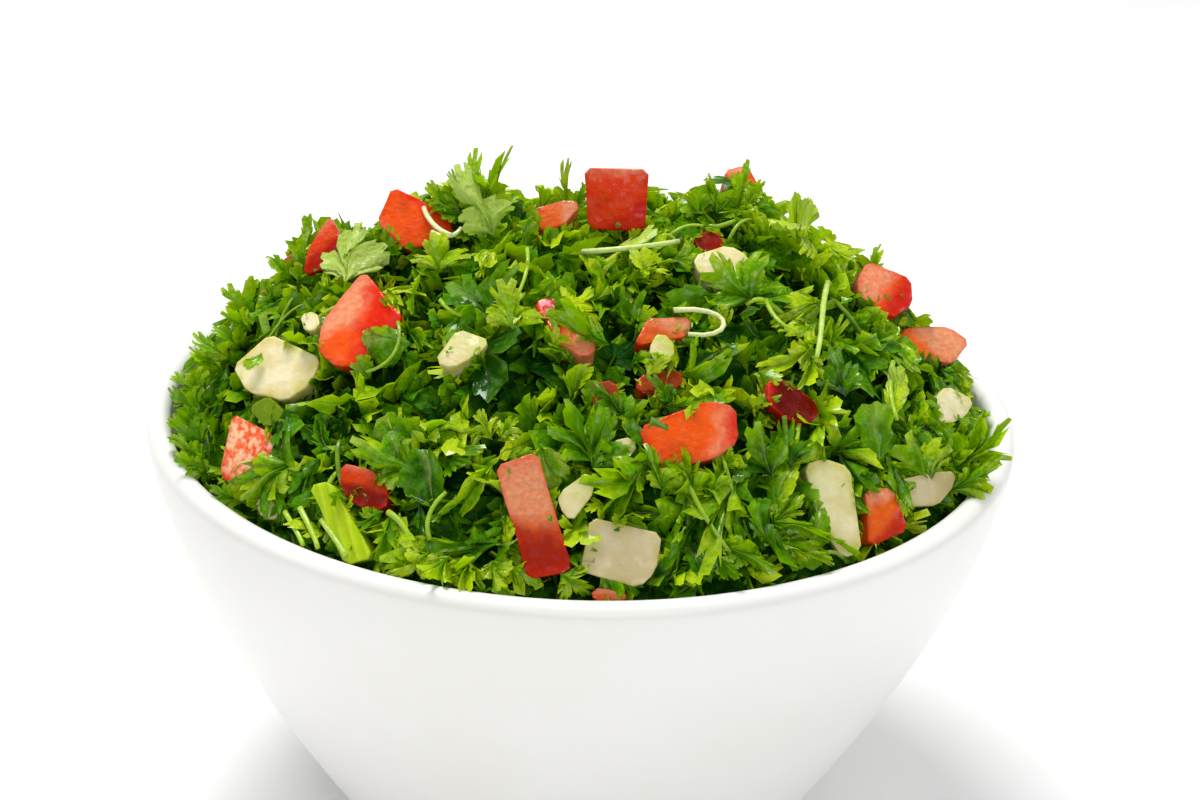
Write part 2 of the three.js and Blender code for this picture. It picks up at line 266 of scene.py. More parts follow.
def bowl_profile():
    """From the axis out under the foot ring, up the outside, over the half-round lip, down the inside and
    back to the axis over the floor."""
    lip = LIP_THICKNESS / 2
    lip_z = BOWL_HEIGHT - lip
    ring_in = FOOT_RADIUS - FOOT_WIDTH
    fillet_z = FLOOR_TOP + FLOOR_FILLET
    heights = np.linspace(FOOT_HEIGHT + FOOT_BLEND, lip_z - 1, 26)
    outside = np.stack([outer_radius(heights), heights], -1)
    fillet = arc((0, fillet_z), FLOOR_FILLET, -10, -90, 8)[:, 1]
    down = np.concatenate([np.linspace(lip_z - 1, fillet_z, 16), fillet])
    inside = np.stack([inner_radius(down), down], -1)
    return np.concatenate([
        [(0, FOOT_HEIGHT), (ring_in - 2 * FOOT_CORNER, FOOT_HEIGHT)],
        arc((ring_in - FOOT_CORNER, FOOT_HEIGHT - FOOT_CORNER), FOOT_CORNER, 90, 0, 4),
        arc((ring_in + FOOT_ROUND, FOOT_ROUND), FOOT_ROUND, 180, 270, 5),
        arc((FOOT_RADIUS - FOOT_ROUND, FOOT_ROUND), FOOT_ROUND, 270, 360, 5),
        arc((FOOT_RADIUS + FOOT_FILLET, FOOT_HEIGHT), FOOT_FILLET, 180, 110, 4),
        outside,
        arc((outer_radius(lip_z) - lip, lip_z), lip, 0, 180, 16),
        inside,
        [(20, FLOOR_TOP), (0, FLOOR_TOP)],
    ])


def porcelain():
    """Warm white glaze, faintly clouded, with a soft unevenness that only the reflections show. Under the
    foot the bare clay is duller and rougher."""
    paint = Paint("porcelain")
    bare = 1 - paint.height().ramp(0.15 * MM, 0.5 * MM)
    glaze = paint.mix(paint.noise(30, 3).ramp(0.3, 0.7), GLAZE_SHADED, GLAZE)
    surface = paint.skin(
        Base_Color=paint.mix(bare, glaze, BARE_CLAY),
        Roughness=paint.noise(9, 3) * 0.08 + 0.3 + bare * 0.4,
        Coat_Weight=(1 - bare) * 0.15,
        Coat_Roughness=0.18,
        Normal=paint.bump(paint.noise(14, 2), 0.12),
    )
    return paint.finish(surface)


bowl = mesh_piece("porcelain_bowl", turned(bowl_profile(), BOWL_TURNS)[None])
shown(bowl, porcelain(), "porcelain", "bowl")

# ----------------------------------------------------------------------------------------- the heap's core
# The middle of the heap, where chopped parsley lies packed too deep to be told apart. It fills the bowl to
# just off the wall, stays under the loose leaves all over, and is roughened like what lies on it. Its green
# is painted shade, nearly black, for the shade down among the leaves.

HEAP_RADIUS = 67.3
HEAP_EDGE_Z = BOWL_HEIGHT - 1
DOME_HEIGHT = 34.0
DOME_POWER = 2.7
TUFTS = [
    # x, y, rise, spread
    (-22, 6, 4, 8),
    (25, 20, 4, 9),
    (37, 2, 2, 8),
    (-6, 14, -3, 8),
    (12, 16, -3, 7),
    (-14, -46, -2, 8),
    (30, -54, 2, 8),
    (-44, 30, 2, 9),
    (-37, 17, -2, 6),
    (0, 38, -5.5, 16),
    (40, 34, -3, 9),
    (-28, 34, -5, 9),
]
WALL_GAP = 0.35
CORE_DEPTH = 8.0
LIP_DEPTH = 4.2
CORE_TURNS = 150
# Painted shade: both greens are darkened far below a leaf's own green.
PACKED_SHADE_DARK = (10, 48, 0)
PACKED_SHADE_GREEN = (46, 96, 2)


def bump_at(x, y, at_x, at_y, spread):
    """1 at one place, dying away smoothly all round it."""
    return np.exp(-((x - at_x) ** 2 + (y - at_y) ** 2) / (2 * spread**2))


def heap_top(x, y):
    """The heap's outline: a flat-topped dome that falls with a power of the distance out, plus a round swell
    for each tuft or hollow and a slow ripple, both dying away at the lip."""
    reach = np.minimum(1, np.hypot(x, y) / HEAP_RADIUS)
    swell = 1.3 * np.sin(0.21 * x + 0.8) * np.cos(0.24 * y - 0.5) + 0.9 * np.sin(0.33 * (x - y))
    for at_x, at_y, rise, spread in TUFTS:
        swell = swell + rise * bump_at(x, y, at_x, at_y, spread)
    return HEAP_EDGE_Z + DOME_HEIGHT * (1 - reach**DOME_POWER) + (1 - reach**6) * swell


def over_heap(points):
    """How far points stand over the heap's outline."""
    return points[..., 2] - heap_top(points[..., 0], points[..., 1])


def unit(vectors):
    return vectors / np.linalg.norm(vectors, axis=-1, keepdims=True)


def square_to(vectors, axis):
    """Unit vectors as near the given ones as can be at right angles to a unit axis."""
    return unit(vectors - axis * (vectors * axis).sum(-1, keepdims=True))


def heap_normal(x, y):
    """Which way the outline faces, from its slope over 3 mm."""
    step = 1.5
    slope_x = (heap_top(x + step, y) - heap_top(x - step, y)) / (2 * step)
    slope_y = (heap_top(x, y + step) - heap_top(x, y - step)) / (2 * step)
    return unit(np.stack([-slope_x, -slope_y, np.ones_like(slope_x)], -1))


def rumple(points, size, seed):
    """Smooth noise from -1 to 1 at each point, its swells about `size` millimetres apart: eight sine waves
    that cross in all directions."""
    draw = np.random.default_rng(seed)
    waves = unit(draw.normal(size=(8, 3))) * (2 * np.pi / (size * draw.uniform(0.8, 1.6, (8, 1))))
    return np.sin(points @ waves.T + draw.uniform(0, 2 * np.pi, 8)).mean(-1) * 2


def core_points():
    """Rings up the cavity and over the dome, CORE_DEPTH under the outline, roughened by two sizes of
    noise."""
    circle = polar(1, np.linspace(0, 2 * np.pi, CORE_TURNS, endpoint=False))
    lip = HEAP_EDGE_Z - LIP_DEPTH
    heights = np.concatenate([[FLOOR_TOP], np.linspace(FLOOR_TOP + 1, lip, 14)])
    walls = (inner_radius(heights) - WALL_GAP)[:, None, None] * circle
    walls = np.concatenate([np.zeros((1, CORE_TURNS, 2)), walls])
    rise = np.concatenate([[FLOOR_TOP], heights]) + WALL_GAP
    sides = np.concatenate([walls, np.broadcast_to(rise[:, None, None], (len(rise), CORE_TURNS, 1))], -1)
    reach = np.linspace(0.97, 0, 46)[:, None, None]
    flat = reach * (inner_radius(lip) - WALL_GAP) * circle
    drop = CORE_DEPTH - (CORE_DEPTH - LIP_DEPTH) * reach[..., 0] ** 8
    top = (heap_top(flat[..., 0], flat[..., 1]) - drop)[..., None]
    dome = np.concatenate([flat, top], -1)
    rough = 1.6 * rumple(dome, 9, 11) + 0.9 * rumple(dome, 3.5, 12)
    dome[..., 2] += rough * np.minimum(1, (1 - reach[..., 0]) * 12)
    return np.concatenate([sides, dome])


def packed_parsley_painted_shade():
    """Painted shade for the depths of the heap: deep green to nearly black in clouds, with lighter
    flecks of leaf.
    """
    paint = Paint("packed_parsley_painted_shade")
    surface = paint.skin(
        Base_Color=paint.mix(paint.noise(2.2, 4).ramp(0.35, 0.7), PACKED_SHADE_DARK, PACKED_SHADE_GREEN),
        Roughness=paint.noise(1.5, 2) * 0.3 + 0.6,
        Specular_IOR_Level=0.05,
        Normal=paint.bump(paint.noise(1.6, 4), 1.2),
    )
    return paint.finish(surface)


core = mesh_piece("parsley_core", core_points()[None])
shown(core, packed_parsley_painted_shade(), "parsley", "parsley_heap")

# ----------------------------------------------------------------------------------------------- the tomato
# Ripe tomato cut from the walls of the fruit: one side of each piece is skin, red and glossy, the rest is wet
# flesh, paler where the fibres run. Each piece's pale side is partly fibre and partly a painted sheen, and its
# brown darkening is partly its own colour and partly painted shade. Knife-cut, so no two are alike and no
# edge is sharp.

CUT_TURNS = 56
EDGE_ROUND = 0.24
FACE_DISH = 0.12
FACE_RISE = 0.5
SIDE_DRAW = 0.12
CUT_MARGIN = 0.06
TOMATO_RED = (234, 16, 2)
TOMATO_ORANGE = (240, 104, 16)
TOMATO_CLOUD = (236, 104, 34)
TOMATO_JUICE = (166, 16, 2)
TOMATO_FIBRE_AND_SHEEN = (240, 188, 146)
SKIN_RED = (214, 6, 2)
SKIN_ORANGE = (230, 44, 4)
# The whitish flesh colour also paints sheen on the pale side; the brown also paints shade.
SKIN_BLOOM = (214, 66, 44)
TOMATO_BROWN_AND_SHADE = (66, 14, 3)
TOMATO_RIM = (206, 34, 2)
FACE_SHARES = [0.0, 0.3, 0.55, 0.76, 0.9, 0.965]
# For each piece: which way its pale side and its skin side lie, in degrees anticlockwise from the right of
# its face, how far each comes in (0 to 1), how orange it is, how brown, and how much of the outline's reach
# the leaves leave bare. The pale side is partly a painted sheen, and the brown is partly painted shade,
# strongest on the two pieces that lie in shadow.
TOMATO_LOOKS = [
    # pale and sheen, share, skin, share, orange, brown and shade, bare
    (90, 0.08, -50, 0.30, 0.25, 0.0, 0.97),
    (200, 0.04, 60, 0.25, 0.55, 0.0, 0.92),
    (130, 0.15, -40, 0.50, 0.35, 0.6, 0.7),
    (140, 0.42, 10, 0.42, 0.60, 0.0, 0.92),
    (0, 0.40, 180, 0.10, 0.95, 0.80, 0.6),
    (-50, 0.30, 130, 0.30, 0.80, 0.3, 0.5),
    (60, 0.50, 200, 0.05, 1.00, 0.8, 0.55),
    (-15, 0.36, -10, 0.24, 0.66, 0.1, 0.92),
    (150, 0.03, -20, 0.85, 0.00, 1.0, 0.7),
    (120, 0.50, -60, 0.35, 0.50, 0.3, 0.95),
    (30, 0.60, 200, 0.05, 1.00, 0.3, 0.8),
    (60, 1.00, -100, 0.08, 0.50, 0.0, 0.9),
    (95, 0.50, -90, 0.45, 0.90, 0.75, 0.95),
    (90, 0.10, -90, 0.50, 0.40, 0.9, 0.7),
    (100, 0.30, -60, 0.30, 0.90, 0.45, 0.9),
    (90, 0.40, -90, 0.10, 0.90, 1.0, 0.9),
    (90, 0.10, -90, 0.10, 0.80, 1.90, 0.5),
    (90, 0.10, -90, 0.10, 0.80, 2.10, 0.3),
    (90, 0.30, -90, 0.20, 0.50, 0.3, 0.45),
    (90, 0.20, -90, 1.00, 0.60, 0.9, 0.5),
    (30, 0.30, 200, 0.40, 0.40, 0.4, 0.3),
    (80, 0.20, 240, 0.40, 0.30, 0.0, 0.8),
    (120, 0.40, -60, 0.40, 0.60, 0.0, 0.9),
    (60, 0.20, 200, 0.50, 0.20, 0.2, 0.7),
    (150, 0.30, -30, 0.30, 0.50, 0.0, 0.9),
    (20, 0.20, 180, 0.40, 0.70, 0.0, 0.9),
    (90, 0.40, -90, 0.30, 0.30, 0.0, 0.9),
    (70, 0.30, -120, 0.40, 0.60, 0.4, 0.1),
]


def read_cut(node, bare):
    """A cut piece's place, read from its solid. The hidden face is the one flat fan of many triangles: its
    reverse is the way the piece looks. The next level up holds the outline, kept as a radius for each
    angle."""
    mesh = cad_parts[node].data
    corners = np.zeros(len(mesh.vertices) * 3, np.float32)
    mesh.vertices.foreach_get("co", corners)
    corners = corners.reshape(-1, 3) / MM
    index = np.zeros(len(mesh.loops), np.int32)
    mesh.loops.foreach_get("vertex_index", index)
    a, b, c = (corners[index.reshape(-1, 3)[:, k]] for k in range(3))
    facing = np.round(unit(np.cross(b - a, c - a)), 2) + 0.0
    kinds, counts = np.unique(facing, axis=0, return_counts=True)
    outward = -unit(kinds[counts.argmax()])
    level = unit(np.array([-outward[1], outward[0], 0]))
    axes = np.stack([level, np.cross(outward, level), outward])
    local = corners @ axes.T
    levels = np.unique(np.round(local[:, 2], 1))
    ring = local[np.abs(local[:, 2] - levels[levels > levels[0] + 1][0]) < 0.15]
    ring = np.unique(np.round(ring[:, :2], 2), axis=0)
    middle = ring.mean(0)
    ring = ring[np.argsort(np.arctan2(*(ring - middle).T[::-1]))] - middle
    closed = np.concatenate([ring, ring[:1]])
    walked = np.concatenate([[0], np.cumsum(np.linalg.norm(np.diff(closed, axis=0), axis=1))])
    stops = np.linspace(0, walked[-1], CUT_TURNS, endpoint=False)
    stops[np.round(walked[:-1] / stops[1]).astype(int) % CUT_TURNS] = walked[:-1]
    edge = np.stack([np.interp(stops, walked, closed[:, k]) for k in range(2)], -1)
    top = local[:, 2].max()
    return {
        "node": node,
        "bare": bare,
        "axes": axes,
        "at": np.array([*middle, top]) @ axes,
        "thick": top - local[:, 2].min(),
        "edge": edge,
        "angle": np.arctan2(edge[:, 1], edge[:, 0]),
        "radius": np.hypot(edge[:, 0], edge[:, 1]),
    }


def read_cuts(kind, bare):
    """All cut pieces of a kind, in the order of their names, each with its share left bare by the leaves. The
    shares repeat once they are used up."""
    names = sorted(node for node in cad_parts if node.startswith(kind))
    return [read_cut(node, bare[k % len(bare)]) for k, node in enumerate(names)]


def outline_radius(cut, angle):
    """How far a cut piece's outline lies from its middle at each angle."""
    return np.interp(angle, cut["angle"], cut["radius"], period=2 * np.pi)


def cut_rows(thick):
    """A cut piece's section, from the middle of its face round a soft edge, down a side that draws in, and
    under to the middle of its back, as (share of the outline, depth) rows."""
    turn = np.linspace(0.3, 1, 4) * np.pi / 2
    edge = np.stack([0.965 + 0.035 * np.sin(turn), EDGE_ROUND * (1 - np.cos(turn)) + FACE_DISH], -1)
    depth = np.linspace(0.2, 0.92, 5)
    side = np.stack([1 - SIDE_DRAW * depth, depth * thick], -1)
    back = np.array([[0.84, 0.985], [0.55, 1.0], [0.25, 1.0], [0.0, 1.0]]) * [1, thick]
    face = np.array([[share, FACE_DISH * share**2] for share in FACE_SHARES])
    return np.concatenate([face, edge, side, back])


def cut_points(cut, wobble, seed):
    """A cut piece's skin: its section scaled out to the outline at every angle, then shaken by noise in all
    three directions so that no face is flat and no edge straight. Gives the points, where each lies in the
    piece, as right, up and depth in millimetres, and how near it is to the face's edge."""
    rows = cut_rows(cut["thick"])
    flat = rows[:, None, :1] * cut["edge"]
    depth = np.broadcast_to(rows[:, None, 1:], (*flat.shape[:2], 1))
    local = np.concatenate([flat, -depth], -1)
    shake = [rumple(local, 8, seed + k) + 0.3 * rumple(local, 2.2, seed + 7 + k) for k in range(3)]
    moved = local + wobble * np.stack(shake, -1)
    moved[..., 2] = np.minimum(moved[..., 2], FACE_RISE)
    share = np.broadcast_to(rows[:, :1] - 0.3 * rows[:, 1:] / cut["thick"], flat.shape[:2])
    return moved @ cut["axes"] + cut["at"], local, share


def toward(local, direction):
    """How far points of a piece lie in one direction, in degrees anticlockwise from its right."""
    angle = np.radians(direction)
    return local[..., 0] * np.cos(angle) + local[..., 1] * np.sin(angle)


def side_share(local, direction, share):
    """1 towards one side of a piece and 0 over the rest, falling smoothly where the share of it ends."""
    along = toward(local, direction)
    reach = np.abs(along[..., None]).max() + 1e-6
    return np.clip((along / reach - (1 - 2 * share)) / 0.6 + 0.5, 0, 1)


def cut_piece(name, cuts, wobble, seed, looks):
    """All the pieces of one kind as one mesh. looks gives the marks of one piece from where its points lie,
    each a number for the whole piece or one for each point."""
    made = [cut_points(cut, wobble, seed + 31 * k) for k, cut in enumerate(cuts)]
    points = np.stack([place for place, _, _ in made])
    marks = [{"rim": share, **looks(k, local)} for k, (_, local, share) in enumerate(made)]
    shape = points.shape[1:3]
    joined = [(key, np.stack([np.broadcast_to(mark[key], shape) for mark in marks])) for key in marks[0]]
    return mesh_piece(name, points, margin=CUT_MARGIN, marks=joined)


def tomato_looks(k, local):
    pale, pale_share, skin, skin_share, orange, brown, _ = TOMATO_LOOKS[k % len(TOMATO_LOOKS)]
    return {
        "pale": side_share(local, pale, pale_share),
        "skin": side_share(local, skin, skin_share),
        "orange": orange,
        "brown": brown,
        "mottle": max(0, 2.5 * pale_share - 1.5),
        "grain": toward(local, pale),
    }


def tomato_finish():
    """Flesh from crimson to orange, clouded and streaked with pale fibres, whitish towards the pale side,
    which is partly a painted sheen; skin deeper and smoother; darkened towards brown, partly as painted shade.
    Wet all over."""
    paint = Paint("tomato")
    ragged = (paint.noise(2.6, 4) - 0.5) * 1.1
    skin = (paint.mark("skin") + ragged).ramp(0.1, 0.9)
    pale = (paint.mark("pale") + ragged).ramp(0.1, 1.0)
    streak = (paint.mark("grain") * 2.6 + paint.noise(2.0, 3) * 6).sine()
    flesh = paint.mix(paint.mark("orange"), TOMATO_RED, TOMATO_ORANGE)
    flesh = paint.mix(paint.noise(3.2, 4).ramp(0.45, 0.68) * 0.25, flesh, TOMATO_CLOUD)
    flesh = paint.mix(paint.noise(3.5, 3).ramp(0.52, 0.72) * 0.32, flesh, TOMATO_JUICE)
    speck = paint.noise(0.8, 4).ramp(0.34, 0.68)
    # Partly painted sheen: the pale side whitens the flesh.
    whitish = pale * (0.38 + 0.26 * speck) + streak.ramp(0.8, 1.0) * speck * 0.06 * (1 - skin)
    whitish = whitish + paint.mark("mottle") * (paint.noise(1.3, 4).ramp(0.42, 0.58) - 0.4) * 0.9
    flesh = paint.mix(whitish.clamped(), flesh, TOMATO_FIBRE_AND_SHEEN)
    red = paint.mix(paint.mark("orange"), SKIN_RED, SKIN_ORANGE)
    red = paint.mix(paint.noise(4.5, 2).ramp(0.45, 0.7) * 0.3, red, SKIN_BLOOM)
    colour = paint.mix(skin, flesh, red)
    # Partly painted shade: brown darkening, strongest on the skin side.
    colour = paint.mix(paint.mark("brown") * (0.35 + skin * 0.5), colour, TOMATO_BROWN_AND_SHADE)
    rim = paint.mark("rim").ramp(0.75, 1.0)
    colour = paint.mix(rim * 0.4, colour, TOMATO_RIM)
    wet = paint.noise(1.1, 3).ramp(0.5, 0.6) * (0.5 + 0.5 * rim)
    surface = paint.skin(
        Base_Color=colour,
        Roughness=0.3 - skin * 0.1 + paint.noise(1.2, 3) * 0.2,
        Specular_IOR_Level=0.08,
        Subsurface_Weight=0.12,
        Subsurface_Radius=(1.0, 0.2, 0.06),
        Subsurface_Scale=1.4 * MM,
        Coat_Weight=0.06 + wet * 0.94,
        Coat_Roughness=0.1,
        Normal=paint.bump(paint.noise(1.0, 4) * (1 - skin * 0.6) + streak * 0.02, 0.32),
    )
    return paint.finish(surface)


tomato_cuts = read_cuts("tomato", [row[-1] for row in TOMATO_LOOKS])
tomatoes = cut_piece("tomato_cuts", tomato_cuts, 0.11, 100, tomato_looks)
shown(tomatoes, tomato_finish(), "tomato", *[cut["node"] for cut in tomato_cuts])

# ------------------------------------------------------------------------------------------------ the onion
# Raw onion cut to small plates. The flesh is cream and lets some light through, ribbed with the layer's fine
# veins, and a few pieces keep a pale green side.

ONION_SHADED = (224, 206, 158)
ONION_CREAM = (242, 230, 194)
ONION_RIB = (204, 186, 124)
ONION_RIM = (194, 184, 66)
ONION_GREEN = (182, 196, 62)
ONION_GREY = (166, 150, 102)
ONION_LOOKS = [
    # rib direction, green, grey, bare
    (20, 0.10, 0.0, 0.99),
    (60, 0.45, 0.15, 0.8),
    (0, 0.10, 0.0, 0.6),
    (40, 0.75, 0.1, 0.7),
    (95, 0.30, 0.0, 0.97),
    (80, 0.35, 0.1, 0.85),
    (10, 0.00, 0.5, 0.95),
    (0, 0.20, 0.3, 0.8),
    (30, 0.15, 0.6, 0.95),
    (50, 0.20, 0.0, 0.8),
    (20, 0.15, 0.0, 0.97),
    (70, 0.40, 0.3, 0.6),
    (40, 0.10, 0.0, 0.6),
    (10, 0.20, 0.1, 0.9),
    (60, 0.30, 0.1, 0.3),
    (120, 0.10, 0.0, 0.9),
    (80, 0.15, 0.2, 0.8),
]


def onion_looks(k, local):
    rib, green, grey, _ = ONION_LOOKS[k % len(ONION_LOOKS)]
    return {
        "grain": toward(local, rib + 90),
        "green": green * (0.4 + 0.6 * side_share(local, rib, 0.5)),
        "grey": grey,
    }


def onion_finish():
    """Cream flesh clouded with white, ribs that run one way, yellow-green on the green side."""
    paint = Paint("onion")
    rib = (paint.mark("grain") * 3.4 + paint.noise(3, 2) * 3).sine()
    rim = paint.mark("rim").ramp(0.6, 1.0)
    colour = paint.mix(paint.noise(4, 3).ramp(0.35, 0.7), ONION_SHADED, ONION_CREAM)
    colour = paint.mix(rib.ramp(0.2, 1.0) * 0.05, colour, ONION_RIB)
    colour = paint.mix(rim * (0.25 + paint.noise(2.5, 2).ramp(0.4, 0.7) * 0.6), colour, ONION_RIM)
    colour = paint.mix(paint.mark("green"), colour, ONION_GREEN)
    colour = paint.mix(paint.mark("grey"), colour, ONION_GREY)
    wet = paint.noise(2.0, 3).ramp(0.5, 0.62)
    surface = paint.skin(
        Base_Color=colour,
        Roughness=paint.noise(1.5, 3) * 0.2 + 0.28,
        Specular_IOR_Level=0.18,
        Subsurface_Weight=0.3,
        Subsurface_Radius=(1.0, 0.9, 0.4),
        Subsurface_Scale=2.0 * MM,
        Coat_Weight=0.1 + wet * 0.7,
        Coat_Roughness=0.12,
        Normal=paint.bump(rib * 0.02 + paint.noise(1.3, 3), 0.25),
    )
    return paint.finish(surface)


onion_cuts = read_cuts("onion", [row[-1] for row in ONION_LOOKS])
onions = cut_piece("onion_cuts", onion_cuts, 0.05, 300, onion_looks)
shown(onions, onion_finish(), "onion", *[cut["node"] for cut in onion_cuts])

# ----------------------------------------------------------------------------------------------- the stalks
# Two thick cut stalks: one ridged along its length like celery or a parsley stem, one smooth and olive.

RIDGE_PITCH = 1.7
STALK_BARE = (0.8, 0.7)
STALK_ALONG = (123, -15)
STALK_GREEN = (170, 200, 16)
STALK_RIDGE = (206, 226, 56)
STALK_OLIVE = (100, 128, 4)
STALK_CLOUD = (150, 182, 16)


def stalk_looks(k, local):
    return {"grain": toward(local, STALK_ALONG[k] + 90), "olive": k}


def stalk_finish():
    """Yellow-green with pale ridges, or plain olive, wet and fibrous."""
    paint = Paint("stalk")
    ridge = (paint.mark("grain") * (2 * np.pi / RIDGE_PITCH) + paint.noise(5, 2) * 2).sine()
    colour = paint.mix(ridge.ramp(-1.0, 1.0) * 0.4, STALK_GREEN, STALK_RIDGE)
    colour = paint.mix(paint.mark("olive"), colour, STALK_OLIVE)
    colour = paint.mix(paint.noise(2.5, 3).ramp(0.4, 0.75) * 0.4, colour, STALK_CLOUD)
    surface = paint.skin(
        Base_Color=colour,
        Roughness=paint.noise(1.2, 2) * 0.2 + 0.28,
        Specular_IOR_Level=0.08,
        Subsurface_Weight=0.2,
        Subsurface_Radius=(0.5, 1.0, 0.2),
        Subsurface_Scale=1.5 * MM,
        Coat_Weight=0.1,
        Coat_Roughness=0.15,
        Normal=paint.bump(ridge * 0.4 * (1 - paint.mark("olive")) + paint.noise(1.0, 2) * 0.5, 0.32),
    )
    return paint.finish(surface)


stalk_cuts = read_cuts("stalk", STALK_BARE)
stalks = cut_piece("cut_stalks", stalk_cuts, 0.15, 500, stalk_looks)
shown(stalks, stalk_finish(), "stalk", *[cut["node"] for cut in stalk_cuts])

# ------------------------------------------------------------------------------------- the leaves laid on top
# Curly parsley leaves, washed and still wet, that came to lie last: over the edges of the cut pieces, out
# over the lip, and standing up along the crest. Each is one thin sheet, its cut base set in the heap.

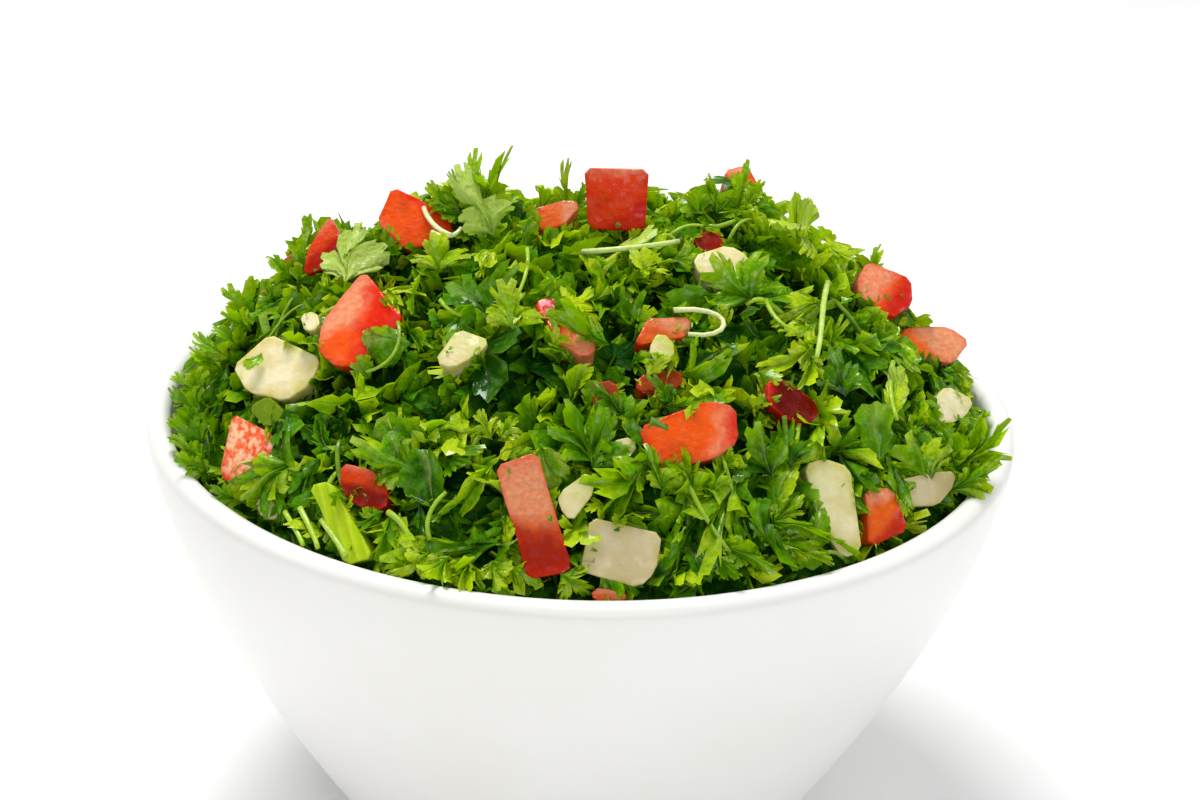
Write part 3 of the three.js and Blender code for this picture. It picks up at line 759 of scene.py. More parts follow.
VIEW_WIDTH = 1200
VIEW_HEIGHT = 800
EYE = np.array([3.1, -408.5, 262.8])
EYE_TILT = 24.846
EYE_ROLL = 2.112
LENS = 80.5
SENSOR = 36.0
NEAREST = 300
FARTHEST = 620
UPRIGHT = np.nan  # in place of a tip's lift: the leaf stands up as far from the eater as its stalk end
LAID_LEAVES = [
    # in the eater's view, stalk end across and down, tip across and down; then the lifts of both over the
    # heap, half the angle the leaf spans, roll, tone, lobes
    (455, 216, 424, 178, -1, UPRIGHT, 24, 10, 0.5, 3),
    (462, 218, 436, 200, -1, UPRIGHT, 24, -20, 0.45, 3),
    (462, 214, 448, 166, -1, UPRIGHT, 20, 0, 0.5, 3),
    (472, 216, 473, 158, -1, UPRIGHT, 22, 0, 0.5, 3),
    (477, 214, 484, 166, -1, UPRIGHT, 18, 20, 0.5, 3),
    (484, 216, 501, 148, -1, UPRIGHT, 17, 15, 0.53, 3),
    (494, 236, 464, 172, 0, UPRIGHT, 30, 0, 1.4, 3),
    (488, 216, 514, 194, -1, 3.5, 26, 0, 0.55, 3),
    (540, 218, 547, 184, -1, UPRIGHT, 30, 0, 0.38, 3),
    (562, 216, 569, 166, -1, UPRIGHT, 16, 0, 0.65, 3),
    (575, 214, 582, 176, -1, UPRIGHT, 18, 20, 0.5, 3),
    (308, 262, 300, 214, -1, UPRIGHT, 32, 0, 0.45, 3),
    (292, 280, 272, 258, -1, UPRIGHT, 34, 0, 0.45, 3),
    (256, 312, 217, 284, -1, UPRIGHT, 30, 0, 0.5, 3),
    (206, 396, 168, 371, 0, UPRIGHT, 26, 0, 0.5, 3),
    (224, 372, 191, 345, 0, UPRIGHT, 30, 0, 0.55, 3),
    (240, 350, 212, 325, 0, UPRIGHT, 32, 0, 0.45, 3),
    (205, 414, 168, 393, 0, UPRIGHT, 26, 10, 0.4, 3),
    (232, 362, 200, 334, 0, UPRIGHT, 24, -10, 0.5, 3),
    (252, 332, 222, 308, 0, UPRIGHT, 30, 0, 0.53, 3),
    (276, 306, 262, 278, -3.8, UPRIGHT, 34, 0, 0.5, 3),
    (300, 272, 304, 236, -1.4, UPRIGHT, 30, 0, 0.5, 3),
    (345, 284, 352, 220, 0, 3, 27, 0, 1.3, 3),
    (414, 344, 357, 334, 0.5, 2.8, 28, 10, 0.42, 1),
    (262, 352, 248, 374, 4, 4, 20, 0, 0.53, 1),
    (440, 272, 432, 228, 0, 2.5, 42, 0, 0.66, 3),
    (500, 322, 445, 284, 0, 1.5, 40, 20, 0.25, 3),
    (514, 330, 500, 280, 0.5, 1.8, 36, 0, 0.61, 3),
    (700, 216, 690, 186, -1, UPRIGHT, 34, 0, 0.5, 3),
    (716, 214, 713, 176, -1, UPRIGHT, 22, 10, 0.53, 3),
    (738, 208, 747, 164, 0.6, UPRIGHT, 22, 0, 0.55, 5),
    (745, 206, 764, 181, 1.7, UPRIGHT, 24, 0, 0.55, 3),
    (716, 214, 744, 190, 0, 2, 30, 0, 0.55, 3),
    (802, 244, 808, 190, -1, UPRIGHT, 19, 0, 1.1, 1),
    (797, 246, 799, 194, -1, UPRIGHT, 17, 0, 0.95, 1),
    (866, 280, 880, 246, -1, UPRIGHT, 30, 0, 0.55, 3),
    (766, 218, 803, 236, 1, 2, 16, 60, 1.1, 1),
    (752, 300, 706, 256, 0.5, 3.6, 44, 0, 0.45, 3),
    (822, 300, 793, 312, 1, 2.5, 17, 10, 0.69, 3),
    (818, 322, 780, 344, 1, 2.5, 16, -10, 0.7, 3),
    (815, 345, 772, 371, 1, 2.5, 16, 10, 0.7, 3),
    (812, 352, 800, 392, 1, 2.5, 20, 0, 0.69, 3),
    (846, 398, 830, 340, 0, 1.5, 32, -15, 0.28, 3),
    (880, 476, 868, 394, 0, 3, 23, -8, 0.36, 1),
    (895, 420, 893, 364, 0.5, 2, 14, 30, 1, 1),
    (932, 486, 905, 436, 0, 2, 44, 0, 0.56, 3),
    (950, 472, 1012, 424, 0, UPRIGHT, 24, 0, 0.5, 5),
    (948, 492, 1008, 456, 0, UPRIGHT, 22, 0, 0.5, 3),
    (950, 464, 988, 418, 0, UPRIGHT, 20, 0, 0.51, 3),
    (694, 500, 676, 434, 0, 4.5, 32, 0, 0.58, 5),
    (664, 492, 650, 450, 0, 3.5, 24, 0, 0.5, 3),
    (708, 500, 728, 446, 0, 3, 26, 0, 0.55, 3),
    (772, 478, 748, 420, 0, 2, 34, 0, 0.22, 3),
    (790, 470, 784, 418, 0, 1.5, 30, 20, 0.25, 3),
    (776, 520, 776, 452, 0, 3, 18, 40, 0.61, 1),
    (772, 526, 806, 492, 0, 2.5, 22, 0, 0.6, 5),
    (776, 540, 842, 566, 0.5, 2, 13, 0, 0.5, 3),
    (770, 520, 838, 540, 0.5, 2, 11, 0, 0.51, 3),
    (808, 556, 818, 508, 0.5, 2.5, 22, 40, 0.22, 1),
    (712, 584, 684, 542, 0.5, 1.2, 20, 0, 0.25, 1),
    (716, 540, 784, 578, 0.5, 1.5, 13, 0, 0.45, 3),
    (712, 552, 748, 586, 0.5, 1.5, 18, 0, 0.4, 3),
    (646, 462, 603, 534, 1.5, 2.4, 28, 10, 0.53, 5),
    (420, 474, 352, 444, 0.5, 3, 28, -10, 0.5, 3),
    (622, 416, 598, 378, 0.5, 3, 28, 0, 0.22, 3),
    (672, 404, 650, 374, 0.5, 3, 22, 0, 0.25, 3),
    (610, 345, 548, 314, 1, 3.5, 22, 0, 0.45, 3),
    (434, 512, 416, 440, 0, 2.5, 24, 10, 0.22, 1),
    (400, 470, 392, 425, 0, 2, 26, -30, 0.34, 1),
    (496, 458, 436, 550, 1, 1.5, 9, 30, 0.62, 1),
    (294, 462, 229, 500, 1, 2, 28, 0, 0.55, 3),
    (204, 444, 168, 417, 0, UPRIGHT, 24, 0, 0.35, 3),
    (210, 474, 175, 449, 0, UPRIGHT, 24, 10, 0.4, 3),
    (236, 500, 206, 484, 0, UPRIGHT, 28, 0, 0.45, 3),
    (772, 546, 744, 500, 0.5, 3, 20, 0, 0.3, 5),
    (200, 430, 169, 405, 0, UPRIGHT, 26, 0, 0.35, 3),
    (206, 460, 171, 434, 0, UPRIGHT, 26, 0, 0.45, 3),
    (210, 458, 194, 392, 0, 1, 22, 0, 0.3, 1),
    (430, 552, 398, 578, 0.5, 1.5, 30, 20, 0.65, 3),
    (450, 556, 424, 589, 0.5, 1.5, 30, -20, 0.65, 5),
    (470, 560, 462, 593, 0.5, 1.2, 30, 15, 0.68, 3),
    (492, 560, 496, 592, 0.5, 1.2, 30, -10, 0.62, 3),
    (446, 582, 474, 560, 0.5, 2, 30, 10, 0.7, 5),
    (414, 556, 386, 572, 0.5, 1.5, 28, 0, 0.6, 3),
    (510, 566, 540, 588, 0.5, 1.2, 30, 0, 0.55, 3),
    (492, 440, 478, 410, 0.5, 2, 36, 0, 0.68, 3),
    (500, 440, 512, 412, 0.5, 2, 30, 0, 0.65, 3),
    (592, 462, 568, 395, 0, 2.5, 30, 0, 0.42, 5),
    (592, 470, 604, 410, 0, 2, 26, 0, 0.4, 3),
    (600, 572, 650, 590, 0.5, 1, 40, 0, 0.45, 3),
    (560, 574, 590, 594, 0.5, 1.2, 40, 0, 0.56, 3),
]
LAID_KINDS = [
    # lobes, how deep they part, how deep the teeth are cut
    (1, (0.3, 0.5), (0.02, 0.12)),
    (3, (0.65, 0.9), (0.12, 0.42)),
    (5, (0.6, 0.85), (0.1, 0.4)),
]
PLAIN_SPAN = 34.0  # half the angle that a leaf of width 1 spans
BLADE_MARGIN = 0.08
LEAF_DEEP = (6, 62, 0)
LEAF_GREEN = (90, 154, 0)
LEAF_YELLOW = (206, 230, 24)
LEAF_BACK = (192, 216, 104)
LEAF_RIB = (196, 220, 110)
LEAF_GLOW = (176, 224, 4)
EDGE_SPACING = 5.0
CUT_REACH = 16.0  # farther than any cut piece reaches from its middle
FACE_DEPTH = 1.0
CRUMPLE = 0.55
CRUMPLE_SIZE = 5.0
CRUMPLE_START = 5.0


def lobed_blades(
    draw, count, teeth, lobes, rows, size, sweep, notch, tooth, bend, keel, crimp, centre=0.0, width=1.0
):
    """`count` blades with blunt teeth, gathered in lobes like a hand. Three columns make a tooth: the cut
    beside it and its two shoulders. The edge lies round a centre this share of the length up the midrib, at a
    distance that falls towards a lobe's sides by `notch` and at each cut by `tooth`. The rows run from the
    base out to the edge, and hug the midrib at first where the centre is off the base. Each lobe bends with
    the square of the way out and is keeled along its middle, and a wave crimps the edge."""

    def each(low_high):
        return draw.uniform(*low_high, (count, 1, 1))

    step = np.arange(3 * teeth + 1)
    place = (step // 3 + np.array([0, 0.26, 0.76])[step % 3]) / teeth
    lobe_count = draw.choice(lobes, (count, 1, 1))
    lobe = np.minimum(np.floor(place * lobe_count + 1e-6), lobe_count - 1).astype(int)
    aside = np.abs(place * lobe_count - lobe - 0.5) * 2
    length, lobe_bend = (
        np.take_along_axis(draw.uniform(*span, (count, 1, max(lobes))), lobe, 2)
        for span in ((0.78, 1.12), bend)
    )
    cuts = draw.uniform(*tooth, (count, 1, len(step))) * (step % 3 == 0)
    edge = (1 - centre) * length * (1 - 0.22 * (2 * place - 1) ** 2)
    edge = edge * (1 - each(notch) * aside**2.4) * (1 - cuts)
    turn = np.radians(each(sweep)) * (2 * place - 1) + 0.07 * np.sin(8 * place + each((0, 6.3)))
    out = np.asarray(rows)[None, :, None]
    hug = 0.7 * (centre > 0) * (1 - out)
    forward = (centre + edge * np.cos(turn)) * out * (1 + 0.3 * hug)
    halves = width * (1 + each((-0.45, 0.45)) * np.sign(turn))
    aloof = halves * edge * np.sin(turn) * out * (1 - hug)
    reach = np.hypot(forward, aloof)
    wave = np.sin(place * each((9, 19)) + each((0, 6.3)))
    height = lobe_bend * reach**2 + each(keel) * (aside - 0.5) * reach + each(crimp) * out**4 * wave
    height = height + 0.03 * out**3 * draw.normal(0, 1, (count, 1, len(step)))
    points = each(size)[..., None] * np.stack([forward, aloof, height], -1)
    return points, np.broadcast_to(1 - aside, height.shape), np.broadcast_to(out, height.shape)


def laid(points, base, tip, face, roll):
    """Blades of unit length set from base to tip with their upper side turned as near `face` as they can,
    then rolled about their length by `roll` degrees. They are crumpled by smooth noise that grows in over
    the first few millimetres from the base."""
    heading = tip - base
    size = np.linalg.norm(heading, axis=-1)
    heading = heading / size[:, None]
    face = square_to(face, heading)
    roll = np.radians(roll)[:, None]
    face = face * np.cos(roll) + np.cross(face, heading) * np.sin(roll)
    frames = np.stack([heading, np.cross(face, heading), face], 1)
    local = np.einsum("nrck,nkd->nrcd", points * size[:, None, None, None], frames)
    placed = local + base[:, None, None, :]
    grown = np.minimum(1, np.linalg.norm(local, axis=-1, keepdims=True) / CRUMPLE_START)
    return placed + CRUMPLE * grown * np.stack([rumple(placed, CRUMPLE_SIZE, 60 + k) for k in range(3)], -1)


def deepness(points):
    """0 at the heap's outline and above, growing to 1 at the depth where its core begins."""
    return np.clip(-over_heap(points) / CORE_DEPTH, 0, 1)


def blade_mesh(name, points, rib, edge, tone):
    """One mesh of all blades of a kind. tone is how light each blade is."""
    tones = np.broadcast_to(tone[:, None, None], rib.shape)
    marks = [("tone", tones), ("rib", rib), ("edge", edge), ("deep", deepness(points))]
    return mesh_piece(name, points, False, BLADE_MARGIN, marks)


def parsley_finish(name):
    """Fresh green, from deep to yellow-green blade by blade and greyer on the few that show their backs,
    paler along the ribs, wet and glossy. Lighter towards the tips and edges as a painted highlight where the
    curled edges catch the light, and darker with depth under the heap's outline as painted shade. Light
    passes through a share of it."""
    paint = Paint(name)
    deep = paint.mark("deep")
    tone = paint.mark("tone") + (paint.noise(3.0, 3) - 0.5) * 0.55 + (paint.noise(1.0, 3) - 0.5) * 0.5
    # Painted light and shade: the tone rises towards the edges as a painted highlight and falls with depth as
    # painted shade.
    tone = tone + paint.mark("edge") * 0.34 - 0.19 - deep * 0.55
    backs = tone.ramp(0.9, 1.35)
    rib = paint.mark("rib").ramp(0.8, 1.0) * 0.35
    colour = paint.mix(tone.ramp(0.0, 0.5), LEAF_DEEP, LEAF_GREEN)
    colour = paint.mix(tone.ramp(0.38, 0.96), colour, LEAF_YELLOW)
    colour = paint.mix(backs, colour, LEAF_BACK)
    colour = paint.mix(rib, colour, LEAF_RIB)
    surface = paint.skin(
        Base_Color=colour,
        Roughness=paint.noise(1.6, 3) * 0.3 + 0.3,
        Specular_IOR_Level=0.05,
        Coat_Weight=paint.noise(1.5, 3).ramp(0.46, 0.58) * (0.9 - deep * 3 - backs * 0.6).clamped(),
        Coat_IOR=1.6,
        Coat_Roughness=0.13,
        Normal=paint.bump(paint.noise(0.8, 2) * 0.5 + paint.noise(2.0, 2) * 0.9 + rib, 0.8),
    )
    through = paint.node("ShaderNodeBsdfTranslucent", {}, {"Color": linear(*LEAF_GLOW)})
    mixed = paint.node("ShaderNodeMixShader", {}, {0: 0.32 - deep * 0.28, 1: surface, 2: through})
    return paint.finish(mixed)


def eye_axes():
    """Right, up and back of the eater's view, which tilts down and rolls a little."""
    tilt, roll = np.radians([EYE_TILT, EYE_ROLL])
    level = np.array([1.0, 0, 0])
    back = np.array([0, -np.cos(tilt), np.sin(tilt)])
    up = np.cross(back, level)
    right = level * np.cos(roll) + up * np.sin(roll)
    return np.stack([right, up * np.cos(roll) - level * np.sin(roll), back])


def sight_lines(across, down):
    """Unit directions from the eye through points of the view, given in pixels from its top left corner."""
    flat = np.stack([across - VIEW_WIDTH / 2, VIEW_HEIGHT / 2 - down], -1) * SENSOR / LENS / VIEW_WIDTH
    return unit(np.concatenate([flat, -np.ones_like(flat[..., :1])], -1) @ eye_axes())


def spots_on_heap(across, down, lift):
    """Where sight lines first dip under the outline raised by a lift: the crossing between the last of their
    points, a millimetre apart, that is over it and the first that is under."""
    points = EYE + sight_lines(across, down)[..., None, :] * np.arange(NEAREST, FARTHEST)[:, None]
    over = points[..., 2] - lift[..., None] - heap_top(points[..., 0], points[..., 1])
    first = np.argmax(over < 0, -1)[..., None]
    share_out = np.take_along_axis(over, first - 1, -1)
    share_in = -np.take_along_axis(over, first, -1)
    ends = [np.take_along_axis(points, k[..., None], -2)[..., 0, :] for k in (first - 1, first)]
    return (ends[0] * share_in + ends[1] * share_out) / (share_in + share_out)


def placed_leaves(draw):
    """The leaves of LAID_LEAVES, facing halfway between the sky and the eater. A tip lies on the heap, or
    halfway from there to the distance of its stalk end where that is nearer, or stands at that distance."""
    root_across, root_down, tip_across, tip_down, *rest = np.array(LAID_LEAVES).T
    root_lift, tip_lift, half_span, roll, tone, lobes = rest
    upright = np.isnan(tip_lift)
    base = spots_on_heap(root_across, root_down, root_lift)
    line = sight_lines(tip_across, tip_down)
    tip = spots_on_heap(tip_across, tip_down, np.where(upright, 0, tip_lift))
    away = ((tip - EYE) * line).sum(-1)
    halfway = (away + np.minimum(away, ((base - EYE) * line).sum(-1))) / 2
    level = (base - EYE)[:, 1] / line[:, 1]
    tip = EYE + line * np.where(upright, level, halfway)[:, None]
    width = np.tan(np.radians(half_span[:, None, None])) / np.tan(np.radians(PLAIN_SPAN))
    made = [
        lobed_blades(
            draw, len(tone), teeth=15, lobes=(kind,), rows=(0.05, 0.2, 0.38, 0.55, 0.72, 0.87, 1.0),
            size=(1, 1), sweep=(140, 168), notch=notch, tooth=tooth, bend=(-0.6, 0.3), keel=(-0.8, 0.8),
            crimp=(0.02, 0.12), centre=0.42, width=width,
        )
        for kind, notch, tooth in LAID_KINDS
    ]
    chosen = np.searchsorted([row[0] for row in LAID_KINDS], lobes)
    points, rib, edge = (np.stack(fans)[chosen, np.arange(len(tone))] for fans in zip(*made))
    face = heap_normal(base[:, 0], base[:, 1]) + unit(EYE - base)
    return laid(points, base, tip, face, roll), rib, edge, tone, base, tip, face


def hides_cut(points, allowed, spots):
    """Which blades would hide a cut piece or a laid leaf: more than the allowed share of their points stand
    in front of the part of its face that stays bare, seen squarely or from where the eater sits."""
    hides = np.zeros(len(points), bool)
    for cut in spots:
        away = (points - cut["at"]) @ cut["axes"].T
        near = np.abs(away).max(-1).min((1, 2)) < CUT_REACH
        local = away[near]
        ahead = local[..., 2] > -FACE_DEPTH
        sight = (EYE - cut["at"]) @ cut["axes"].T
        views = [np.array([0, 0, 1.0])]
        if sight[2] > 0.15 * np.linalg.norm(sight):
            views.append(sight / sight[2])
        for view in views:
            on_face = local[..., :2] - local[..., 2:] * view[:2]
            angle = np.arctan2(on_face[..., 1], on_face[..., 0])
            inside = np.hypot(on_face[..., 0], on_face[..., 1]) < outline_radius(cut, angle) * cut["bare"]
            share = (inside & ahead).mean((1, 2))
            hides[near] |= share > allowed
    return hides


def edge_leaves(draw, cuts):
    """Small leaves over the rims of the cut pieces, about EDGE_SPACING millimetres apart. Each starts beside
    its piece, below the face, and its tip lies just over the face, in as far as the leaves may hide it. Those
    whose stalk end the heap wouldn't carry are left out."""
    base, tip, face = [], [], []
    for cut in cuts:
        count = int(np.ceil(2 * np.pi * cut["radius"].mean() / EDGE_SPACING))
        angle = draw.uniform(0, 2 * np.pi, count)
        aimed = angle + draw.normal(0, 0.5, count)
        start = outline_radius(cut, angle) + draw.uniform(0.5, 3.5, count)
        stop = outline_radius(cut, aimed) * (cut["bare"] + draw.uniform(-0.1, 0.12, count))
        sunk, lift = draw.uniform(-4.5, -0.5, count), draw.uniform(0.3, 1.2, count)
        for kept, reach, turn, height in ((base, start, angle, sunk), (tip, stop, aimed, lift)):
            kept.append(polar(reach, turn, height) @ cut["axes"] + cut["at"])
        face.append(np.broadcast_to(cut["axes"][2], (count, 3)))
    base, tip, face = (np.concatenate(part) for part in (base, tip, face))
    count = len(base)
    points, rib, edge = lobed_blades(
        draw, count, teeth=9, lobes=(1, 3), rows=(0.1, 0.4, 0.7, 1.0), size=(0.8, 1.2), sweep=(90, 160),
        notch=(0.5, 0.85), tooth=(0.12, 0.42), bend=(-0.5, 0.2), keel=(-0.8, 0.8), crimp=(0.0, 0.1),
        centre=0.38,
    )
    points = laid(points, base, tip, face, draw.normal(0, 22, count))
    tone = draw.normal(0.52, 0.17, count)
    carried = base[:, 2] < heap_top(base[:, 0], base[:, 1]) + 1.5
    kept = carried & ~hides_cut(points, 0.1, cuts)
    return points[kept], rib[kept], edge[kept], tone[kept]


def flecks(draw, cuts):
    """Chips of leaf a millimetre or two long that stick to the wet faces of the cut pieces, most of them near
    the outline."""
    cut = [cuts[k] for k in np.repeat(np.arange(len(cuts)), draw.integers(0, 3, len(cuts)))]
    count = len(cut)
    angle = draw.uniform(0, 2 * np.pi, count)
    edge = np.array([outline_radius(*pair) for pair in zip(cut, angle)])
    reach = edge * draw.uniform(0.35, 1.0, count) ** 0.5
    start = polar(reach, angle, 0.3)
    turn = draw.uniform(0, 2 * np.pi, count)
    size = draw.uniform(0.5, 1.4, count)[:, None]
    stop = start + size * polar(1, turn, 0.1)
    axes = np.stack([piece["axes"] for piece in cut])
    at = np.stack([piece["at"] for piece in cut])
    base, tip = (np.einsum("nk,nkd->nd", local, axes) + at for local in (start, stop))
    points, rib, edge = lobed_blades(
        draw, count, teeth=5, lobes=(1, 2), rows=(0.1, 0.5, 1.0), size=(1, 1), sweep=(20, 50),
        notch=(0.3, 0.6), tooth=(0.05, 0.3), bend=(-0.2, 0.2), keel=(-0.3, 0.3), crimp=(0.0, 0.05),
    )
    points = laid(points, base, tip, axes[:, 2], draw.normal(0, 12, count))
    return points, rib, edge, draw.normal(0.5, 0.2, count)


green = parsley_finish("parsley_leaf")
all_cuts = tomato_cuts + onion_cuts + stalk_cuts
draw = np.random.default_rng(31)
*top_leaves, top_base, top_tip, top_face = placed_leaves(draw)
shown(blade_mesh("parsley_laid", *top_leaves), green, "parsley")
shown(blade_mesh("parsley_over_edges", *edge_leaves(draw, all_cuts)), green, "parsley")
shown(blade_mesh("parsley_flecks", *flecks(draw, all_cuts)), green, "parsley")

# ------------------------------------------------------------------------------------------ the parsley stems
# Thin round stems, cut with the leaves: paler and yellower than these, smooth, and bent as they lie.

STEM_TURNS = 8
STEM_STEPS = 10
STEMS = [
    # four points the stem bends by, each across and down in the eater's view and its lift over the heap;
    # then its radius and tone
    ((583, 252, 1.2), (612, 250, 1.6), (645, 247, 1.8), (679, 241, 1.6), 0.5, 1.1),
    ((674, 310, 1.2), (738, 304, 2.4), (738, 342, 2.4), (688, 334, 1.2), 0.45, 1.2),
    ((828, 283, 1), (820, 305, 2.5), (824, 335, 2.5), (815, 362, 1.5), 0.5, 1),
    ((300, 508, 1), (306, 520, 1.4), (314, 534, 1.4), (318, 548, 1), 0.5, 0.9),
    ((285, 512, 0.8), (292, 524, 1.2), (300, 536, 1.2), (303, 545, 0.8), 0.45, 0.85),
    ((322, 520, 1), (330, 532, 1.4), (340, 546, 1.4), (346, 556, 1), 0.5, 0.95),
    ((388, 512, 1), (402, 520, 1.8), (412, 536, 1.8), (414, 556, 1), 0.5, 0.7),
    ((430, 540, 0.8), (424, 524, 1.8), (428, 508, 1.8), (446, 492, 1), 0.4, 0.7),
    ((527, 248, 1), (530, 262, 1.8), (526, 280, 1.8), (514, 302, 1.2), 0.35, 0.75),
    ((424, 208, 2.6), (428, 222, 3), (440, 232, 3), (452, 235, 2.6), 0.45, 1.3),
    ((432, 232, 2.4), (446, 240, 2.6), (456, 236, 2.6), (461, 228, 2.2), 0.4, 1.2),
    ((893, 362, 1.6), (888, 380, 2.4), (890, 400, 2.4), (897, 420, 1.6), 0.45, 0.8),
    ((683, 470, 1), (690, 490, 2), (704, 520, 2), (730, 552, 1), 0.4, 0.65),
    ((398, 322, 0.8), (404, 345, 1.2), (392, 366, 1.2), (366, 372, 0.8), 0.32, 0.6),
    ((440, 300, 0.8), (452, 316, 1.6), (470, 322, 1.6), (498, 310, 0.8), 0.35, 0.75),
    ((766, 300, 0.6), (772, 320, 1.4), (790, 336, 1.4), (812, 332, 0.6), 0.4, 0.75),
]
LOOSE_STEMS = 60
LOOSE_REACH = 66.0
LOOSE_LIFTS = [(-4, -1), (-1, 1.2), (-0.6, 1.4), (-3, 0.8)]
STEM_DARK = (44, 96, 0)
STEM_GREEN = (170, 204, 50)
STEM_PALE = (228, 232, 178)


def stem_points(controls, radius):
    """Round stems along curves pulled from the first of four points to the last by the two between. Each ring
    stands square to the curve, thins by a fifth towards the far end, and both ends are cut flat."""
    along = np.linspace(0, 1, STEM_STEPS)[:, None]
    weights = np.concatenate(
        [(1 - along) ** 3, 3 * along * (1 - along) ** 2, 3 * along**2 * (1 - along), along**3], 1
    )
    line = np.einsum("sk,nkd->nsd", weights, controls)
    ahead = unit(np.gradient(line, axis=1))
    side = unit(np.cross(ahead, [0.013, 0.021, 1.0]))
    lift = np.cross(side, ahead)
    angle = np.linspace(0, 2 * np.pi, STEM_TURNS, endpoint=False)[:, None]
    wide = (radius[:, None] * np.linspace(1, 0.8, STEM_STEPS))[..., None, None]
    ring = side[:, :, None] * np.cos(angle) + lift[:, :, None] * np.sin(angle)
    skin = line[:, :, None] + wide * ring
    ends = [np.broadcast_to(line[:, k, None, None], (len(line), 1, STEM_TURNS, 3)) for k in (0, -1)]
    return np.concatenate([ends[0], skin, ends[1]], 1)


def loose_stems(draw, count):
    """Short stems strewn over the heap, each lying along the slope at a turn of its own with one end sunk."""
    reach = HEAP_RADIUS * draw.uniform(0, 0.97, count) ** 0.5
    around = draw.uniform(0, 2 * np.pi, count)
    turn = draw.uniform(0, 2 * np.pi, count)
    bend = draw.normal(0, 0.28, (count, 3))
    length = draw.uniform(4, 9, count)
    flat = [polar(reach, around)]
    for k in range(3):
        turn = turn + bend[:, k]
        flat.append(flat[-1] + (length / 3)[:, None] * polar(1, turn))
    flat = np.stack(flat, 1)
    radius = np.hypot(flat[..., 0], flat[..., 1])
    flat = flat * np.minimum(1, LOOSE_REACH / radius)[..., None]
    lift = np.stack([draw.uniform(*span, count) for span in LOOSE_LIFTS], 1)
    return np.concatenate([flat, lift[..., None]], -1)


def stem_finish():
    """Green to nearly white, stem by stem, finely ribbed along and wet; darker where it runs deep, as painted
    shade.
    """
    paint = Paint("parsley_stem")
    deep = paint.mark("deep")
    # Painted shade: the tone drops with depth under the heap's outline.
    tone = paint.mark("tone") + (paint.noise(2.0, 3) - 0.5) * 0.4 - deep * 0.5
    colour = paint.mix(tone.ramp(0.2, 0.95), STEM_DARK, STEM_GREEN)
    colour = paint.mix(tone.ramp(0.85, 1.35), colour, STEM_PALE)
    surface = paint.skin(
        Base_Color=colour,
        Roughness=paint.noise(1.2, 2) * 0.2 + 0.3,
        Specular_IOR_Level=0.2,
        Subsurface_Weight=0.2,
        Subsurface_Radius=(0.6, 1.0, 0.3),
        Subsurface_Scale=1.0 * MM,
        Coat_Weight=paint.noise(1.5, 2).ramp(0.45, 0.6) * 0.8,
        Coat_Roughness=0.1,
        Normal=paint.bump(paint.noise(0.6, 2), 0.15),
    )
    return paint.finish(surface)


draw = np.random.default_rng(32)
controls = np.array([row[:4] for row in STEMS])
girth = np.array([row[4] for row in STEMS])
tone = np.array([row[5] for row in STEMS])
loose = loose_stems(draw, LOOSE_STEMS)
loose[..., 2] += heap_top(loose[..., 0], loose[..., 1])
controls = np.concatenate([spots_on_heap(controls[..., 0], controls[..., 1], controls[..., 2]), loose])
girth = np.concatenate([girth, draw.uniform(0.22, 0.5, LOOSE_STEMS)])
tone = np.concatenate([tone, draw.normal(0.66, 0.12, LOOSE_STEMS)])
tubes = stem_points(controls, girth)
kept = ~hides_cut(tubes, 0.02, all_cuts)
kept[: len(STEMS)] = True
tubes, tone = tubes[kept], tone[kept]
marks = [("tone", np.broadcast_to(tone[:, None, None], tubes.shape[:3])), ("deep", deepness(tubes))]
stems = mesh_piece("parsley_stems", tubes, margin=CUT_MARGIN, marks=marks)
shown(stems, stem_finish(), "stalk")

# ---------------------------------------------------------------------------------------- the chopped parsley
# The rest of the heap, chopped coarse: sprigs of small toothed leaflets, wide lobed leaves, narrow strips and
# tight frills, heaped over leaves that fill the gaps, their tones lowered as painted shade. They keep clear of
# what lies on top.

GOLDEN_TURN = np.pi * (3 - np.sqrt(5))
WALL_CLEARANCE = 0.8
LIP_CLEARANCE = 0.4
LEAN_OUT = 0.9
LEAN_LIMIT = 6.5
HOLLOWS = 6.0
HOLLOW_SIZE = 11.0
RIM_SHARE = 0.16
TIP_LIMIT = 0.5
TIP_KEPT = 0.45
LAID_SHARE = 0.3
HIDING_SHARE = 0.04
# Painted light: sprigs near the heap's crown are made lighter in tone, for the lamp above.
CROWN_REACH = 45.0
CROWN_PAINTED_LIGHT = 0.2
PATCH_SIZE = 22.0
PATCH_LIGHT = 0.08
CALM = [
    # where leaves stand less: x, y, spread
    (1, 16, 7),
    (14, 14, 7),
    (33, 12, 5),
    (-35, 8, 5),
    (-53, 6, 4),
    (20, 34, 9),
]
RIM_LEAVES = 170
RIM_ENDS = [
    # stalk end, then tip: least and most radius, least and most lift over the heap, scatter round the rim
    (56, 62, -2.0, 0.5, 0.0),
    (65, 68, 0.2, 2.4, 0.1),
]


